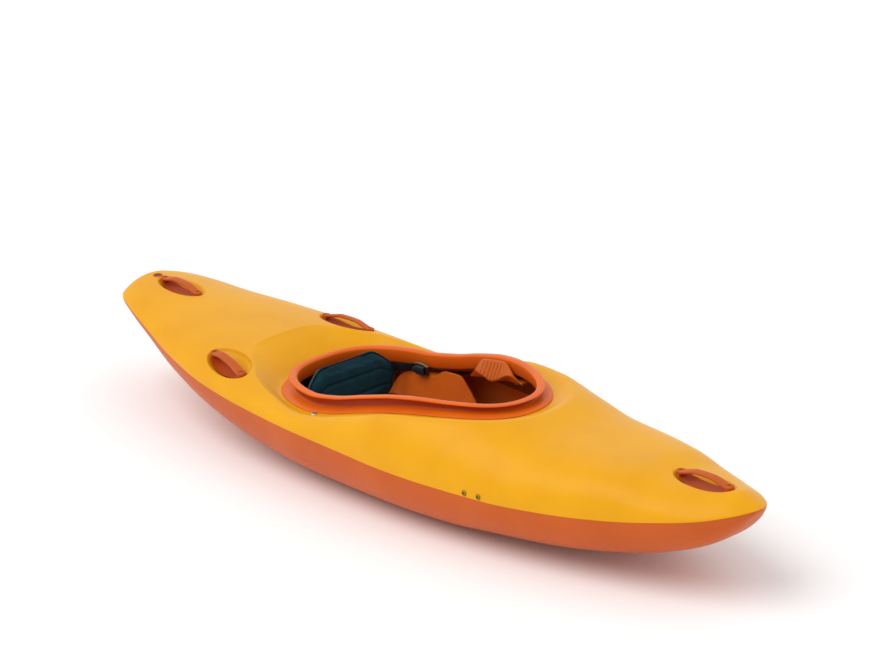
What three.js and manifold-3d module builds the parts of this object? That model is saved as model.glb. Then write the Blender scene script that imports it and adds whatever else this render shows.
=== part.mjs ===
// Whitewater kayak for one paddler, with its seat, back band, braces, footrest and grab handles.
// Millimetres. +X points to the bow, +Y to port (the paddler's left), +Z up.
// The origin lies under the middle of the boat, on the surface that the hull rests on.
import * as THREE from "three";
import { mergeVertices } from "three/addons/utils/BufferGeometryUtils.js";
import Module from "manifold-3d";

const wasm = await Module();
wasm.setup();

// Driving dimensions
const LENGTH = 2400;
const SKIN = 7; // wall of the moulded shell
const SEAM_GAP = 0.3; // between deck and hull at the colour line
const CLEAR = 0.6; // between a fitting and the curved skin that it sits on

// Hull lines: [distance forward of the middle, value], joined by smooth curves
const HALF_BEAM = [
  [-1200, 46], [-1192, 88], [-1165, 124], [-1095, 156], [-950, 200], [-800, 242], [-600, 283],
  [-400, 305], [-150, 317], [100, 315], [300, 300], [500, 273], [700, 234], [850, 193],
  [1000, 149], [1100, 109], [1155, 72], [1188, 36], [1200, 10],
];
const SEAM_HEIGHT = [
  [-1200, 280], [-1100, 268], [-950, 242], [-800, 215], [-600, 192], [-400, 182], [0, 171],
  [300, 162], [500, 162], [700, 172], [850, 186], [1000, 211], [1100, 231], [1200, 258],
];
const KEEL_HEIGHT = [
  [-1200, 258], [-1100, 224], [-950, 170], [-800, 114], [-600, 58], [-400, 20], [-200, 3],
  [0, 0], [300, 4], [500, 22], [700, 42], [850, 68], [1000, 110], [1100, 156], [1155, 200],
  [1188, 238], [1200, 250],
];
// Height of the deck's crown, as it would run if there were no cockpit
const CROWN_HEIGHT = [
  [-1200, 308], [-1140, 306], [-950, 294], [-800, 284], [-650, 274], [-560, 268], [-400, 259],
  [-200, 248], [0, 309], [150, 383], [300, 368], [450, 330], [600, 300], [720, 296], [850, 295],
  [960, 281], [1060, 284], [1130, 288], [1200, 262],
];
// The deck's section is (1 - across^squareness)^softness: 2 and 0.5 make an ellipse. A
// larger squareness gives fuller shoulders, and a larger softness gives a more peaked deck
const DECK_SQUARENESS = [
  [-1200, 2.0], [-1000, 1.85], [-800, 2.1], [-500, 2.2], [-200, 2.45], [200, 2.6], [550, 3.1],
  [800, 3.45], [900, 3.3], [1000, 2.5], [1100, 1.65], [1200, 1.3],
];
const DECK_SOFTNESS = [
  [-1200, 0.82], [-1000, 0.7], [-800, 0.48], [-600, 0.42], [-200, 0.48], [550, 0.5],
  [800, 0.42], [900, 0.42], [1000, 0.52], [1100, 0.68], [1200, 0.78],
];
const HULL_SQUARENESS = 3.6;
const FLAT_DEPTH = 1.2; // how much of the rounded bottom is planed off to a flat that it rests on
// Height of the level shelf round the cockpit, which the coaming is joined to
const SHELF_HEIGHT = [
  [-600, 215], [-450, 200], [-220, 204], [-110, 222], [0, 252], [110, 278], [220, 294],
  [330, 300], [450, 300], [520, 302],
];

// Cockpit opening: an egg, widest towards the back
const OPENING = { widestX: -120, rear: 283, front: 505, halfWidth: 199, rearPower: 2.6, frontPower: 2.25 };
const COAMING_HEIGHT = 43;
const COAMING_DIP = { depth: 13, from: 80, to: 400 }; // how its lip sinks towards the bow
const FLANGE_WIDTH = 44; // from the opening's edge to the outer edge of the coaming's foot
const DECK_HOLE = 13; // how far the hole in the deck lies outside the opening's edge
// How far the scooped shelf reaches out from the opening's edge, by distance forward
const SHELF_REACH = [
  [-620, 190], [-580, 179], [-526, 146], [-450, 110], [-306, 86], [-270, 92], [-200, 108],
  [100, 113],
];

// Grab handles: back and front ends of the bar, how far it leans outboard, and how much further
// its pocket reaches to one side (to starboard if less than 0), where the hand comes in
const GRAB_HANDLES = {
  bow_grab_handle: { rear: [931, 0], front: [1113, 0], roll: 0, extra: 0 },
  stern_grab_handle: { rear: [-1131, 0], front: [-955, 0], roll: 0, extra: 0 },
  port_side_grab_handle: { rear: [-645, 202], front: [-470, 237], roll: -12, extra: -12 },
  starboard_side_grab_handle: { rear: [-645, -202], front: [-470, -237], roll: 12, extra: 12 },
};
const POCKET = { depth: 26, halfWidth: 46, margin: 6, wall: 5 };
const HANDLE = {
  archWidth: 28, archThick: 10, archRise: 14, baseHalfWidth: 26, baseOutboard: 32, baseThick: 4.5,
};
const HANDLE_BOLT = { inset: 12, shank: 3, head: 6.5, headHeight: 3.5, length: 24, seat: 0.5 };
const DRAIN = { x: -1155, plugRadius: 11, seatRadius: 15, depth: 16 };

// Seat, back band and ratchets
const SEAT = { cheekRear: -322, rear: -250, front: 58, halfWidth: 188, thick: 6, wingZ: 187, travel: 20 };
const CHEEK_INSIDE = 150; // the walls go on aft of the pan as cheeks, from this far off the middle
const SEAT_BOLT = { x: -153, y: 254, shank: 3.6, head: 9 };
const BAND = {
  x: -266, halfWidth: 155, footHalfWidth: 134, bottom: 122, top: 256, corner: 0.6, cornerDrop: 52,
  lean: 52, sheetThick: 4, padThick: 24,
};
const BAND_HINGE = { x: -262, z: 106, lugY: 95.5, earY: 104, pinRadius: 4 };
const RATCHET = { x: -208, y: 182, z: 203 };

// Thigh braces, under the sides of the cockpit's front half
const THIGH_REACH = [[-20, 3], [20, 20], [58, 35], [133, 35], [180, 22], [208, 9], [226, 3]];
// Height of the brace's inboard edge over the shelf
const THIGH_EDGE = [
  [-20, -16], [0, -4], [20, 5], [58, 0], [105, -15], [133, -10], [180, 6], [208, -8], [226, -16],
];
const THIGH = { boltsX: [36, 170], boltOffset: 20, boltDrop: 29, travel: 15, plate: -12.5, crest: 35 };

// Footrest
const FOOTPLATE = { x: 640, thick: 8, padThick: 16 };
const RAIL = { y: 176, z: 172, rear: 440, bend: 560, front: 770, tall: 26, thick: 5 };
const RAIL_BOLT = { stations: [458, 502], shank: 3, head: 8 };

// A monotone cubic through the given stations, so that it never overshoots them
function smooth(stations) {
  const n = stations.length;
  const slope = [];
  for (let i = 0; i < n - 1; i++) {
    const [x0, v0] = stations[i];
    const [x1, v1] = stations[i + 1];
    slope.push((v1 - v0) / (x1 - x0));
  }
  const tangent = stations.map((_, i) => {
    if (i === 0) return slope[0];
    if (i === n - 1) return slope[n - 2];
    if (slope[i - 1] * slope[i] <= 0) return 0;
    const before = stations[i][0] - stations[i - 1][0];
    const after = stations[i + 1][0] - stations[i][0];
    const w1 = 2 * after + before;
    const w2 = after + 2 * before;
    return (w1 + w2) / (w1 / slope[i - 1] + w2 / slope[i]);
  });
  return (x) => {
    let i = 0;
    while (i < n - 2 && x > stations[i + 1][0]) i++;
    const [x0, v0] = stations[i];
    const [x1, v1] = stations[i + 1];
    const h = x1 - x0;
    const t = Math.min(1, Math.max(0, (x - x0) / h));
    const t2 = t * t;
    const t3 = t2 * t;
    return (2 * t3 - 3 * t2 + 1) * v0 + (t3 - 2 * t2 + t) * h * tangent[i]
      + (3 * t2 - 2 * t3) * v1 + (t3 - t2) * h * tangent[i + 1];
  };
}

const halfBeam = smooth(HALF_BEAM);
const seamHeight = smooth(SEAM_HEIGHT);
const keelHeight = smooth(KEEL_HEIGHT);
const crownHeight = smooth(CROWN_HEIGHT);
const deckSquareness = smooth(DECK_SQUARENESS);
const deckSoftness = smooth(DECK_SOFTNESS);
const shelfHeight = smooth(SHELF_HEIGHT);
const shelfReach = smooth(SHELF_REACH);
const thighReach = smooth(THIGH_REACH);
const thighEdge = smooth(THIGH_EDGE);

function ease(from, to, value) {
  const t = Math.min(1, Math.max(0, (value - from) / (to - from)));
  return t * t * (3 - 2 * t);
}

// The point of the cockpit outline at an angle (0 at the front), moved outwards by offset
function outlinePoint(angle, offset) {
  const c = Math.cos(angle);
  const s = Math.sin(angle);
  const power = c < 0 ? OPENING.rearPower : OPENING.frontPower;
  const reach = (c < 0 ? OPENING.rear : OPENING.front) + offset;
  const x = OPENING.widestX + reach * Math.sign(c) * Math.abs(c) ** (2 / power);
  const y = (OPENING.halfWidth + offset) * Math.sign(s) * Math.abs(s) ** (2 / power);
  return [x, y];
}

// How far a point lies outside the cockpit opening's edge; less than 0 is inside
function outlineOffset(x, y) {
  const dx = Math.abs(x - OPENING.widestX);
  const dy = Math.abs(y);
  const power = x < OPENING.widestX ? OPENING.rearPower : OPENING.frontPower;
  const reach = x < OPENING.widestX ? OPENING.rear : OPENING.front;
  let low = 1 - OPENING.halfWidth;
  let high = LENGTH;
  for (let i = 0; i < 40; i++) {
    const mid = (low + high) / 2;
    const outside = (dx / (reach + mid)) ** power + (dy / (OPENING.halfWidth + mid)) ** power > 1;
    if (outside) low = mid;
    else high = mid;
  }
  return low;
}

// Height of the deck's outer face. Behind the cockpit the shelf is a scoop, which curves up
// to a C-shaped crease; beside and ahead of the cockpit it runs softly into the deck.
function deckHeight(x, y) {
  const across = Math.min(1, Math.abs(y) / halfBeam(x));
  const seam = seamHeight(x);
  const rise = (1 - across ** deckSquareness(x)) ** deckSoftness(x);
  const open = seam + (crownHeight(x) - seam) * rise;
  const behind = 1 - ease(-430, -180, x);
  const foot = FLANGE_WIDTH + 4;
  const t = Math.min(1, Math.max(0, (outlineOffset(x, y) - foot) / (shelfReach(x) - foot)));
  const climb = behind * t ** 1.6 + (1 - behind) * ease(0, 1, t);
  const onShelf = (1 - climb) * (1 - ease(0.88, 1, across));
  return open * (1 - onShelf) + shelfHeight(x) * onShelf;
}

// Height of the hull's outer face, flat where the boat rests
function hullHeight(x, y) {
  const across = Math.min(1, Math.abs(y) / halfBeam(x));
  const seam = seamHeight(x);
  const z = seam - (seam - keelHeight(x)) * Math.sqrt(1 - across ** HULL_SQUARENESS);
  return Math.max(0, z - FLAT_DEPTH);
}

// A closed solid of shared points from a list of rings with equal counts and flat end caps
function loft(rings) {
  const count = rings[0].length;
  const points = rings.flat(2);
  const tris = [];
  for (let i = 0; i < rings.length - 1; i++) {
    for (let j = 0; j < count; j++) {
      const k = (j + 1) % count;
      const a = i * count + j;
      const b = i * count + k;
      tris.push(a, b, b + count, a, b + count, a + count);
    }
  }
  const last = (rings.length - 1) * count;
  for (const [a, b, c] of capFaces(count)) {
    tris.push(a, c, b);
    tris.push(last + a, last + b, last + c);
  }
  return outwards(points, tris);
}

// Triangles that fill a ring by joining its points in pairs, from its ends to its middle
function capFaces(count) {
  const faces = [];
  for (let low = 0, high = count - 1; high - low > 1; low++, high--) {
    faces.push([low, low + 1, high]);
    if (high - low > 2) faces.push([low + 1, high - 1, high]);
  }
  return faces;
}

// The mesh as a manifold-3d solid, with its faces turned outwards if they aren't
function outwards(points, tris) {
  let volume = 0;
  for (let i = 0; i < tris.length; i += 3) {
    const [a, b, c] = [0, 1, 2].map((k) => new THREE.Vector3().fromArray(points, tris[i + k] * 3));
    volume += a.dot(b.cross(c));
  }
  if (volume < 0) {
    for (let i = 0; i < tris.length; i += 3) [tris[i], tris[i + 1]] = [tris[i + 1], tris[i]];
  }
  return new wasm.Manifold(new wasm.Mesh({
    numProp: 3,
    vertProperties: new Float32Array(points),
    triVerts: new Uint32Array(tris),
  }));
}

// A three.js geometry, placed by a matrix, as a manifold-3d solid
function solidOf(geometry, matrix = new THREE.Matrix4()) {
  const plain = geometry.clone().applyMatrix4(matrix);
  plain.deleteAttribute("normal");
  plain.deleteAttribute("uv");
  const merged = mergeVertices(plain, 1e-3);
  return outwards([...merged.attributes.position.array], [...merged.index.array]);
}

// A manifold-3d solid as a three.js geometry
function geometryOf(solid) {
  const mesh = solid.getMesh();
  const geometry = new THREE.BufferGeometry();
  geometry.setAttribute("position", new THREE.BufferAttribute(mesh.vertProperties, 3));
  geometry.setIndex(new THREE.BufferAttribute(mesh.triVerts, 1));
  geometry.computeVertexNormals();
  return geometry;
}

function at(x, y, z) {
  return new THREE.Matrix4().makeTranslation(x, y, z);
}

function block(sizeX, sizeY, sizeZ, x, y, z) {
  return solidOf(new THREE.BoxGeometry(sizeX, sizeY, sizeZ), at(x, y, z));
}

// A solid of revolution about its frame's z axis; the profile is a list of [radius, z]
function turned(profile, frame, segments = 8) {
  const outline = profile.map(([r, z]) => new THREE.Vector2(r, z));
  const upright = new THREE.Matrix4().makeRotationX(Math.PI / 2);
  return solidOf(new THREE.LatheGeometry(outline, segments), frame.clone().multiply(upright));
}

// A plain round bar from one height to another in a frame, used as a pin or to drill a hole
function round(radius, from, to, frame, segments = 8) {
  return turned([[0, from], [radius, from], [radius, to], [0, to]], frame, segments);
}

// A frame at a point whose z axis points out to one side of the boat
function sideways(x, y, z, side) {
  return at(x, y, z).multiply(new THREE.Matrix4().makeRotationX((-side * Math.PI) / 2));
}

function stepped(from, to, count) {
  return Array.from({ length: count + 1 }, (_, i) => from + ((to - from) * i) / count);
}

// Stations of the shell's sections: close together where the shape turns quickly
const SHELL_STATIONS = [
  -1200, -1192, -1165, -1120, -1060, -985, -900, -810, -725, -660, -615, -580, -545, -510, -475,
  -440, -400, -355, -305, -250, -190, -130, -70, -10, 50, 110, 170, 230, 285, 335, 375, 415, 455,
  500, 560, 630, 710, 790, 865, 935, 1000, 1055, 1100, 1140, 1170, 1190, 1200,
];
const INNER_STATIONS = [
  -1184, -1140, -1070, -980, -880, -780, -690, -620, -575, -530, -480, -420, -350, -270, -180,
  -90, 0, 90, 180, 270, 350, 410, 460, 540, 640, 740, 840, 930, 1010, 1080, 1130, 1160,
];

// Starboard to port across the boat, closer together towards the sides
function acrossSection(width, steps) {
  return stepped(0, Math.PI, steps).map((angle) => -width * Math.cos(angle));
}

// Everything above the seam within the deck's outer face, or within its inner face
function deckBlank(stations, wall, steps) {
  return loft(stations.map((x) => {
    const width = halfBeam(x) - wall;
    const foot = seamHeight(x) - 2 * wall;
    const top = acrossSection(width, steps).map((y) => {
      return [x, y, Math.max(foot + 1, deckHeight(x, y) - wall)];
    });
    return [[x, -width, foot], ...top.slice(1, -1), [x, width, foot]];
  }));
}

function hullBlank(stations, wall, steps) {
  return loft(stations.map((x) => {
    const width = halfBeam(x) - wall;
    const brim = seamHeight(x) - SEAM_GAP + 2 * wall;
    const below = acrossSection(width, steps).map((y) => {
      return [x, y, Math.min(brim - 1, hullHeight(x, y) + wall)];
    });
    return [[x, -width, brim], ...below.slice(1, -1), [x, width, brim]];
  }));
}

// Placement of a handle: x runs along its bar, z stands on the line between its two ends
function handleFrame(handle) {
  const [rear, front] = [handle.rear, handle.front].map(([x, y]) => {
    return new THREE.Vector3(x, y, deckHeight(x, y));
  });
  const along = front.clone().sub(rear).normalize();
  const across = new THREE.Vector3(0, 0, 1).cross(along).normalize();
  const up = along.clone().cross(across);
  const middle = front.add(rear).multiplyScalar(0.5);
  return new THREE.Matrix4().makeBasis(along, across, up).setPosition(middle)
    .multiply(new THREE.Matrix4().makeRotationX(THREE.MathUtils.degToRad(handle.roll)));
}

function handleHalf(handle) {
  return Math.hypot(handle.front[0] - handle.rear[0], handle.front[1] - handle.rear[1]) / 2;
}

// Where a handle's two bolts stand, in the boat's frame
function handleBoltFrames(handle) {
  const reach = handleHalf(handle) - HANDLE_BOLT.inset;
  return [reach, -reach].map((x) => handleFrame(handle).multiply(at(x, 0, 0)));
}

// Section of the pocket under a handle: [share of the way out to its rim, height]
const POCKET_PROFILE = [
  [0, -POCKET.depth], [0.5, -POCKET.depth], [0.82, -14], [0.96, -6], [1, 0], [1.08, 7],
];
const pocketHeight = smooth(POCKET_PROFILE);

// Half width of a handle's pocket on the side that y lies on
function pocketHalfWidth(handle, y) {
  return POCKET.halfWidth + (y * handle.extra > 0 ? Math.abs(handle.extra) : 0);
}

// The oval pocket under a grab handle, grown by wall
function handlePocket(handle, wall, segments) {
  const long = handleHalf(handle) + POCKET.margin + wall;
  const bowl = POCKET_PROFILE.map(([r, z]) => [r, z - wall]);
  const oval = turned([...bowl, [1.08, 60], [0, 60]], at(0, 0, 0), segments).warp((point) => {
    point[0] *= long;
    point[1] *= pocketHalfWidth(handle, point[1]) + wall;
  });
  return oval.transform([...handleFrame(handle).elements]);
}

function deckShell() {
  let outside = deckBlank(SHELL_STATIONS, 0, 18);
  let inside = deckBlank(INNER_STATIONS, SKIN, 12);
  for (const handle of Object.values(GRAB_HANDLES)) {
    outside = outside.subtract(handlePocket(handle, 0, 16));
    inside = inside.subtract(handlePocket(handle, POCKET.wall, 10));
  }
  let shell = outside.subtract(inside).subtract(openingCutter());
  for (const hole of deckHoles()) shell = shell.subtract(hole);
  return shell.subtract(coamingSeat());
}

// Holes for the bolts that pass through the deck, and for the drain
function deckHoles() {
  const holes = [round(DRAIN.seatRadius + CLEAR, 200, 400, at(DRAIN.x, 0, 0), 16)];
  for (const handle of Object.values(GRAB_HANDLES)) {
    for (const frame of handleBoltFrames(handle)) {
      holes.push(round(HANDLE_BOLT.shank + 0.5, -60, 20, frame));
    }
  }
  for (const side of [-1, 1]) {
    const seatBolt = at(SEAT_BOLT.x, side * SEAT_BOLT.y, deckHeight(SEAT_BOLT.x, SEAT_BOLT.y));
    holes.push(round(SEAT_BOLT.shank + 0.5, -40, 20, seatBolt));
    holes.push(round(SEAT_BOLT.head + 2, -2.5, 20, seatBolt, 12));
    for (const x of THIGH.boltsX) {
      holes.push(round(3.5, -40, 20, at(x, side * thighBoltY(x), shelfHeight(x))));
    }
    for (const x of RAIL_BOLT.stations) {
      const wall = sideways(x, side * halfBeam(x), RAIL.z, side);
      holes.push(round(RAIL_BOLT.shank + 0.5, -30, 20, wall));
      holes.push(round(RAIL_BOLT.head + 1, -1.5, 20, wall, 12));
    }
  }
  return holes;
}

const OUTLINE_STEPS = 48;

function outlineAngles() {
  return Array.from({ length: OUTLINE_STEPS }, (_, i) => (2 * Math.PI * i) / OUTLINE_STEPS);
}

// A vertical prism that cuts the cockpit's hole in the deck
function openingCutter() {
  const ring = (z) => outlineAngles().map((angle) => [...outlinePoint(angle, DECK_HOLE), z]);
  return loft([ring(120), ring(420)]);
}

// A ring that trims the deck where the coaming's foot lies on it
function coamingSeat() {
  return rimLoft([
    [DECK_HOLE - 1, 0.2], [FLANGE_WIDTH + 1, 0.2], [FLANGE_WIDTH + 1, 60], [DECK_HOLE - 1, 60],
  ]);
}

function hullShell() {
  return hullBlank(SHELL_STATIONS, 0, 14).subtract(hullBlank(INNER_STATIONS, SKIN, 10));
}

// Coaming section: [outwards from the opening's edge, height above the shelf]
const COAMING_PROFILE = [
  [0, CLEAR], [FLANGE_WIDTH, CLEAR], [FLANGE_WIDTH, 3], [32, 6.5], [11, 9], [7.5, 14], [7.5, 31],
  [24, 34], [24, COAMING_HEIGHT - 2], [10, COAMING_HEIGHT], [1, COAMING_HEIGHT - 4],
];

// A section swept round the cockpit's outline; it stands on the shelf's height, and what is
// high in the section sinks towards the bow
function rimLoft(profile) {
  const rings = outlineAngles().map((angle) => profile.map(([offset, height]) => {
    const [x, y] = outlinePoint(angle, offset);
    const dip = COAMING_DIP.depth * ease(COAMING_DIP.from, COAMING_DIP.to, x);
    const share = Math.max(0, height - 12) / (COAMING_HEIGHT - 12);
    return [x, y, shelfHeight(x) + height - dip * share];
  }));
  const count = profile.length;
  const tris = [];
  for (let i = 0; i < rings.length; i++) {
    const next = ((i + 1) % rings.length) * count;
    for (let j = 0; j < count; j++) {
      const k = (j + 1) % count;
      tris.push(i * count + j, i * count + k, next + k, i * count + j, next + k, next + j);
    }
  }
  return outwards(rings.flat(2), tris);
}

// Grab handle in its own frame: an arched bar over a dished base that lines the pocket
function grabHandle(handle) {
  const half = handleHalf(handle);
  const end = half - HANDLE_BOLT.inset;
  const rise = HANDLE.archRise;
  const route = [[4 - half, 0], [-end, 0.5], [22 - end, 5], [-26, rise - 1.5], [26, rise - 1.5],
    [end - 22, 5], [end, 0.5], [half - 4, 0]];
  let body = archBar(route).add(handleBase(handle));
  for (const x of [-end, end]) {
    body = body.subtract(round(HANDLE_BOLT.shank + 0.4, -60, 20, at(x, 0, 0)));
    body = body.subtract(round(HANDLE_BOLT.head + 0.6, HANDLE_BOLT.seat, 40, at(x, 0, 0)));
  }
  return body;
}

// A flat bar of rounded section along a route of [x, z]
function archBar(route) {
  const curve = new THREE.CatmullRomCurve3(route.map(([x, z]) => new THREE.Vector3(x, 0, z)));
  const rings = stepped(0, 1, 10).map((t) => {
    const p = curve.getPointAt(t);
    const along = curve.getTangentAt(t);
    return stepped(0, 2 * Math.PI, 8).slice(1).map((angle) => {
      const c = Math.cos(angle + Math.PI / 8);
      const s = Math.sin(angle + Math.PI / 8);
      const lift = HANDLE.archThick * 0.54 * s;
      return [p.x - along.z * lift, HANDLE.archWidth * 0.54 * c, p.z + along.x * lift];
    });
  });
  return loft(rings);
}

// Thin oval dish that follows the pocket's floor, and reaches further up its outboard wall
function handleBase(handle) {
  const half = handleHalf(handle);
  const rings = stepped(-1, 1, 8).map((t) => {
    const x = (half - 1) * Math.sin((t * Math.PI) / 2);
    const narrow = Math.max(0.34, (1 - Math.abs(x / half) ** 3) ** 0.5);
    const under = stepped(-1, 1, 4).map((s) => {
      const outboard = s * handle.extra < 0;
      const y = narrow * (outboard ? HANDLE.baseOutboard : HANDLE.baseHalfWidth) * s;
      const share = Math.hypot(x / (half + POCKET.margin), y / pocketHalfWidth(handle, y));
      return [x, y, pocketHeight(share) + 3.4];
    });
    const top = under.map((p) => [p[0], p[1], p[2] + HANDLE.baseThick]).reverse();
    return [...under, ...top];
  });
  return loft(rings);
}

// Bolt with its head's underside at z = 0 of its frame and its shank pointing down
function bolt(shank, length, head, headHeight, frame) {
  return turned([
    [0, -length], [shank, -length], [shank, 0], [head, 0], [head, headHeight * 0.45],
    [head * 0.6, headHeight], [0, headHeight],
  ], frame);
}

// Ring seat moulded into the stern's tip, and the plug that screws into it
function drainSeat() {
  const top = deckHeight(DRAIN.x, 0);
  const bore = DRAIN.plugRadius + CLEAR;
  return turned([
    [bore, top - DRAIN.depth], [DRAIN.seatRadius, top - DRAIN.depth], [DRAIN.seatRadius, top + 2],
    [bore, top + 2], [bore, top - DRAIN.depth],
  ], at(DRAIN.x, 0, 0), 16);
}

function drainPlug() {
  const top = deckHeight(DRAIN.x, 0);
  const slot = block(16, 3, 4, DRAIN.x, 0, top + 4);
  return turned([
    [0, top - DRAIN.depth - 2], [DRAIN.plugRadius - 3, top - DRAIN.depth - 2],
    [DRAIN.plugRadius, top - DRAIN.depth + 2], [DRAIN.plugRadius, top + 2],
    [DRAIN.plugRadius - 2, top + 4], [0, top + 4],
  ], at(DRAIN.x, 0, 0), 14).subtract(slot);
}

// Lines of the seat's thick skin: floor and wall heights, half width and middle ridge
const seatFloor = smooth([[-322, 92], [-250, 72], [-200, 46], [-90, 34], [0, 42], [58, 64]]);
const seatWall = smooth([
  [-322, 134], [-300, 160], [-280, 174], [-250, 185], [-225, 190], [-165, 190.5], [-150, 199],
  [-118, 216], [-60, 220], [-20, 190], [58, 92],
]);
const seatWide = smooth([[-322, 178], [-250, 184], [-180, 188], [0, 184], [58, 168]]);
const seatRidge = smooth([[-140, 0], [-20, 22], [20, 34], [58, 30]]);

function seatPan() {
  const cheekStations = stepped(SEAT.cheekRear, SEAT.rear, 3);
  const stations = [...cheekStations, ...stepped(SEAT.rear, SEAT.front, 10).slice(1)];
  const rings = stations.map((x) => {
    const line = stepped(-1, 1, 14).map((s) => {
      const y = seatWide(x) * Math.sign(s) * Math.abs(s) ** 0.8;
      const wall = (seatWall(x) - seatFloor(x)) * Math.abs(y / seatWide(x)) ** 4.5;
      return [y, seatFloor(x) + seatRidge(x) * Math.exp(-((y / 40) ** 2)) + wall];
    });
    const under = line.map(([y, z], i) => {
      const [y0, z0] = line[Math.max(0, i - 1)];
      const [y1, z1] = line[Math.min(line.length - 1, i + 1)];
      const run = Math.hypot(y1 - y0, z1 - z0);
      return [x, y + (SEAT.thick * (z1 - z0)) / run, z - (SEAT.thick * (y1 - y0)) / run];
    });
    return [...line.map(([y, z]) => [x, y, z]), ...under.reverse()];
  });
  const cheekLong = SEAT.rear - SEAT.cheekRear + 10;
  const gap = block(cheekLong, 2 * CHEEK_INSIDE, 300, SEAT.rear - cheekLong / 2, 0, 100);
  let pan = loft(rings).subtract(gap);
  for (const side of [-1, 1]) {
    pan = pan.add(seatWing(side)).add(seatRunner(side)).add(bandEar(side));
  }
  return pan.subtract(pinBore(-1)).subtract(pinBore(1));
}

// Flat wing that reaches out under the deck, slotted for the seat bolt
function seatWing(side) {
  const root = SEAT.halfWidth - 4;
  const tip = SEAT_BOLT.y + 16;
  const slotLong = 2 * (SEAT.travel + SEAT_BOLT.shank + 2);
  const plate = block(86, tip - root, 6, SEAT_BOLT.x, (side * (tip + root)) / 2, SEAT.wingZ);
  const slotWide = 2 * SEAT_BOLT.shank + 1.6;
  return plate.subtract(block(slotLong, slotWide, 20, SEAT_BOLT.x, side * SEAT_BOLT.y, SEAT.wingZ));
}

// Low runner under the pan, which slides just over the hull's floor
function seatRunner(side) {
  return loft(stepped(-190, 10, 5).map((x) => {
    const foot = hullHeight(x, 100) + SKIN + 4;
    const top = seatFloor(x) + 2;
    return [[x, side * 92, foot], [x, side * 100, foot], [x, side * 100, top], [x, side * 92, top]];
  }));
}

// Upright ear at the seat's back edge that carries one of the back band's pins
function bandEar(side) {
  return block(50, 8, 60, BAND_HINGE.x + 14, side * BAND_HINGE.earY, BAND_HINGE.z - 20);
}

function pinBore(side) {
  const frame = sideways(BAND_HINGE.x, 0, BAND_HINGE.z, side);
  return round(BAND_HINGE.pinRadius + 0.4, 60, 140, frame, 10);
}

function backbandPin(side) {
  const frame = sideways(BAND_HINGE.x, 0, BAND_HINGE.z, side);
  return round(BAND_HINGE.pinRadius, BAND_HINGE.lugY - 6, BAND_HINGE.earY + 7, frame, 10);
}

// Middle surface of the back band, which leans back; across runs from -1 to 1, up from 0 to 1
function bandPoint(across, up) {
  const u = Math.abs(across);
  const top = BAND.top - BAND.cornerDrop * Math.max(0, (u - BAND.corner) / (1 - BAND.corner)) ** 1.3;
  const bottom = BAND.bottom + 30 * u ** 4;
  const z = bottom + (top - bottom) * up;
  const x = BAND.x - (BAND.lean * (z - BAND.bottom)) / (BAND.top - BAND.bottom) - 5 * u * u;
  const halfWidth = BAND.footHalfWidth + (BAND.halfWidth - BAND.footHalfWidth) * ease(0, 0.8, up);
  return [x, halfWidth * across, z];
}

// Stiff sheet behind the pad, with a lug at each side for the pins
function backbandShell() {
  let shell = loft(stepped(-0.97, 0.97, 14).map((across) => {
    const front = stepped(0.04, 0.96, 4).map((up) => bandPoint(across, up));
    return [...front, ...front.map(([x, y, z]) => [x - BAND.sheetThick, y, z]).reverse()];
  }));
  for (const side of [-1, 1]) {
    const { x, z, lugY } = BAND_HINGE;
    shell = shell.add(block(25, 7, 22, x - 2, side * lugY, z));
    shell = shell.add(block(3, 7, 31, x - 12.8, side * lugY, z + 15.5));
  }
  return shell.subtract(pinBore(-1)).subtract(pinBore(1));
}

// Padded band: crowned towards the paddler, drawn in at its edges, with two sewn channels
function backbandPad() {
  return loft(stepped(-1, 1, 18).map((across) => {
    const side = Math.max(0, 1 - Math.abs(across) ** 6) ** 0.5;
    const rise = stepped(0.02, 0.98, 10);
    const front = rise.map((up) => {
      const [x, y, z] = bandPoint(across, up);
      const edge = Math.max(0, 1 - Math.abs(2 * up - 1) ** 4) ** 0.5;
      const channel = Math.exp(-(((up - 0.34) / 0.05) ** 2)) + Math.exp(-(((up - 0.66) / 0.05) ** 2));
      return [x + 4 + (BAND.padThick - 4 - 4 * channel) * side * edge, y, z];
    });
    const back = rise.map((up) => bandPoint(across, up)).map(([x, y, z]) => [x + 1.8, y, z]);
    return [...front, ...back.reverse()];
  }));
}

// Webbing from the band's end to the ratchet, standing on edge
function backbandStrap(side) {
  const from = [-295, BAND.halfWidth + 3, 196];
  const to = [RATCHET.x - 29, RATCHET.y - 1, RATCHET.z];
  return loft(stepped(0, 1, 4).map((t) => {
    const [x, y, z] = from.map((v, i) => v + (to[i] - v) * t);
    const corner = (dy, dz) => [x, side * (y + dy), z + dz];
    return [corner(-1.2, -11), corner(1.2, -11), corner(1.2, 11), corner(-1.2, 11)];
  }));
}

// Ratchet's base: a foot on the seat's wing, a standing plate and two cheeks for the lever
function ratchetBase(side) {
  const { x, y, z } = RATCHET;
  const underside = SEAT.wingZ + 4.6;
  const plate = block(54, 5, 24, x, side * y, z + 0.6);
  const foot = block(54, 9, 4, x, side * (y + 2), underside + 2);
  const cheek = (dz) => block(30, 13, 2.4, x + 4, side * (y - 8), z + dz);
  return plate.add(foot).add(cheek(-10.2)).add(cheek(10.2));
}

// Lever that lies over the ratchet, between its cheeks, and lifts from its back end
function ratchetLever(side) {
  const { x, y, z } = RATCHET;
  const plate = block(44, 4, 17, x - 2, side * (y - 13), z);
  return plate.add(round(4.2, -8.5, 8.5, at(x + 14, side * (y - 9), z)));
}

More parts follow.
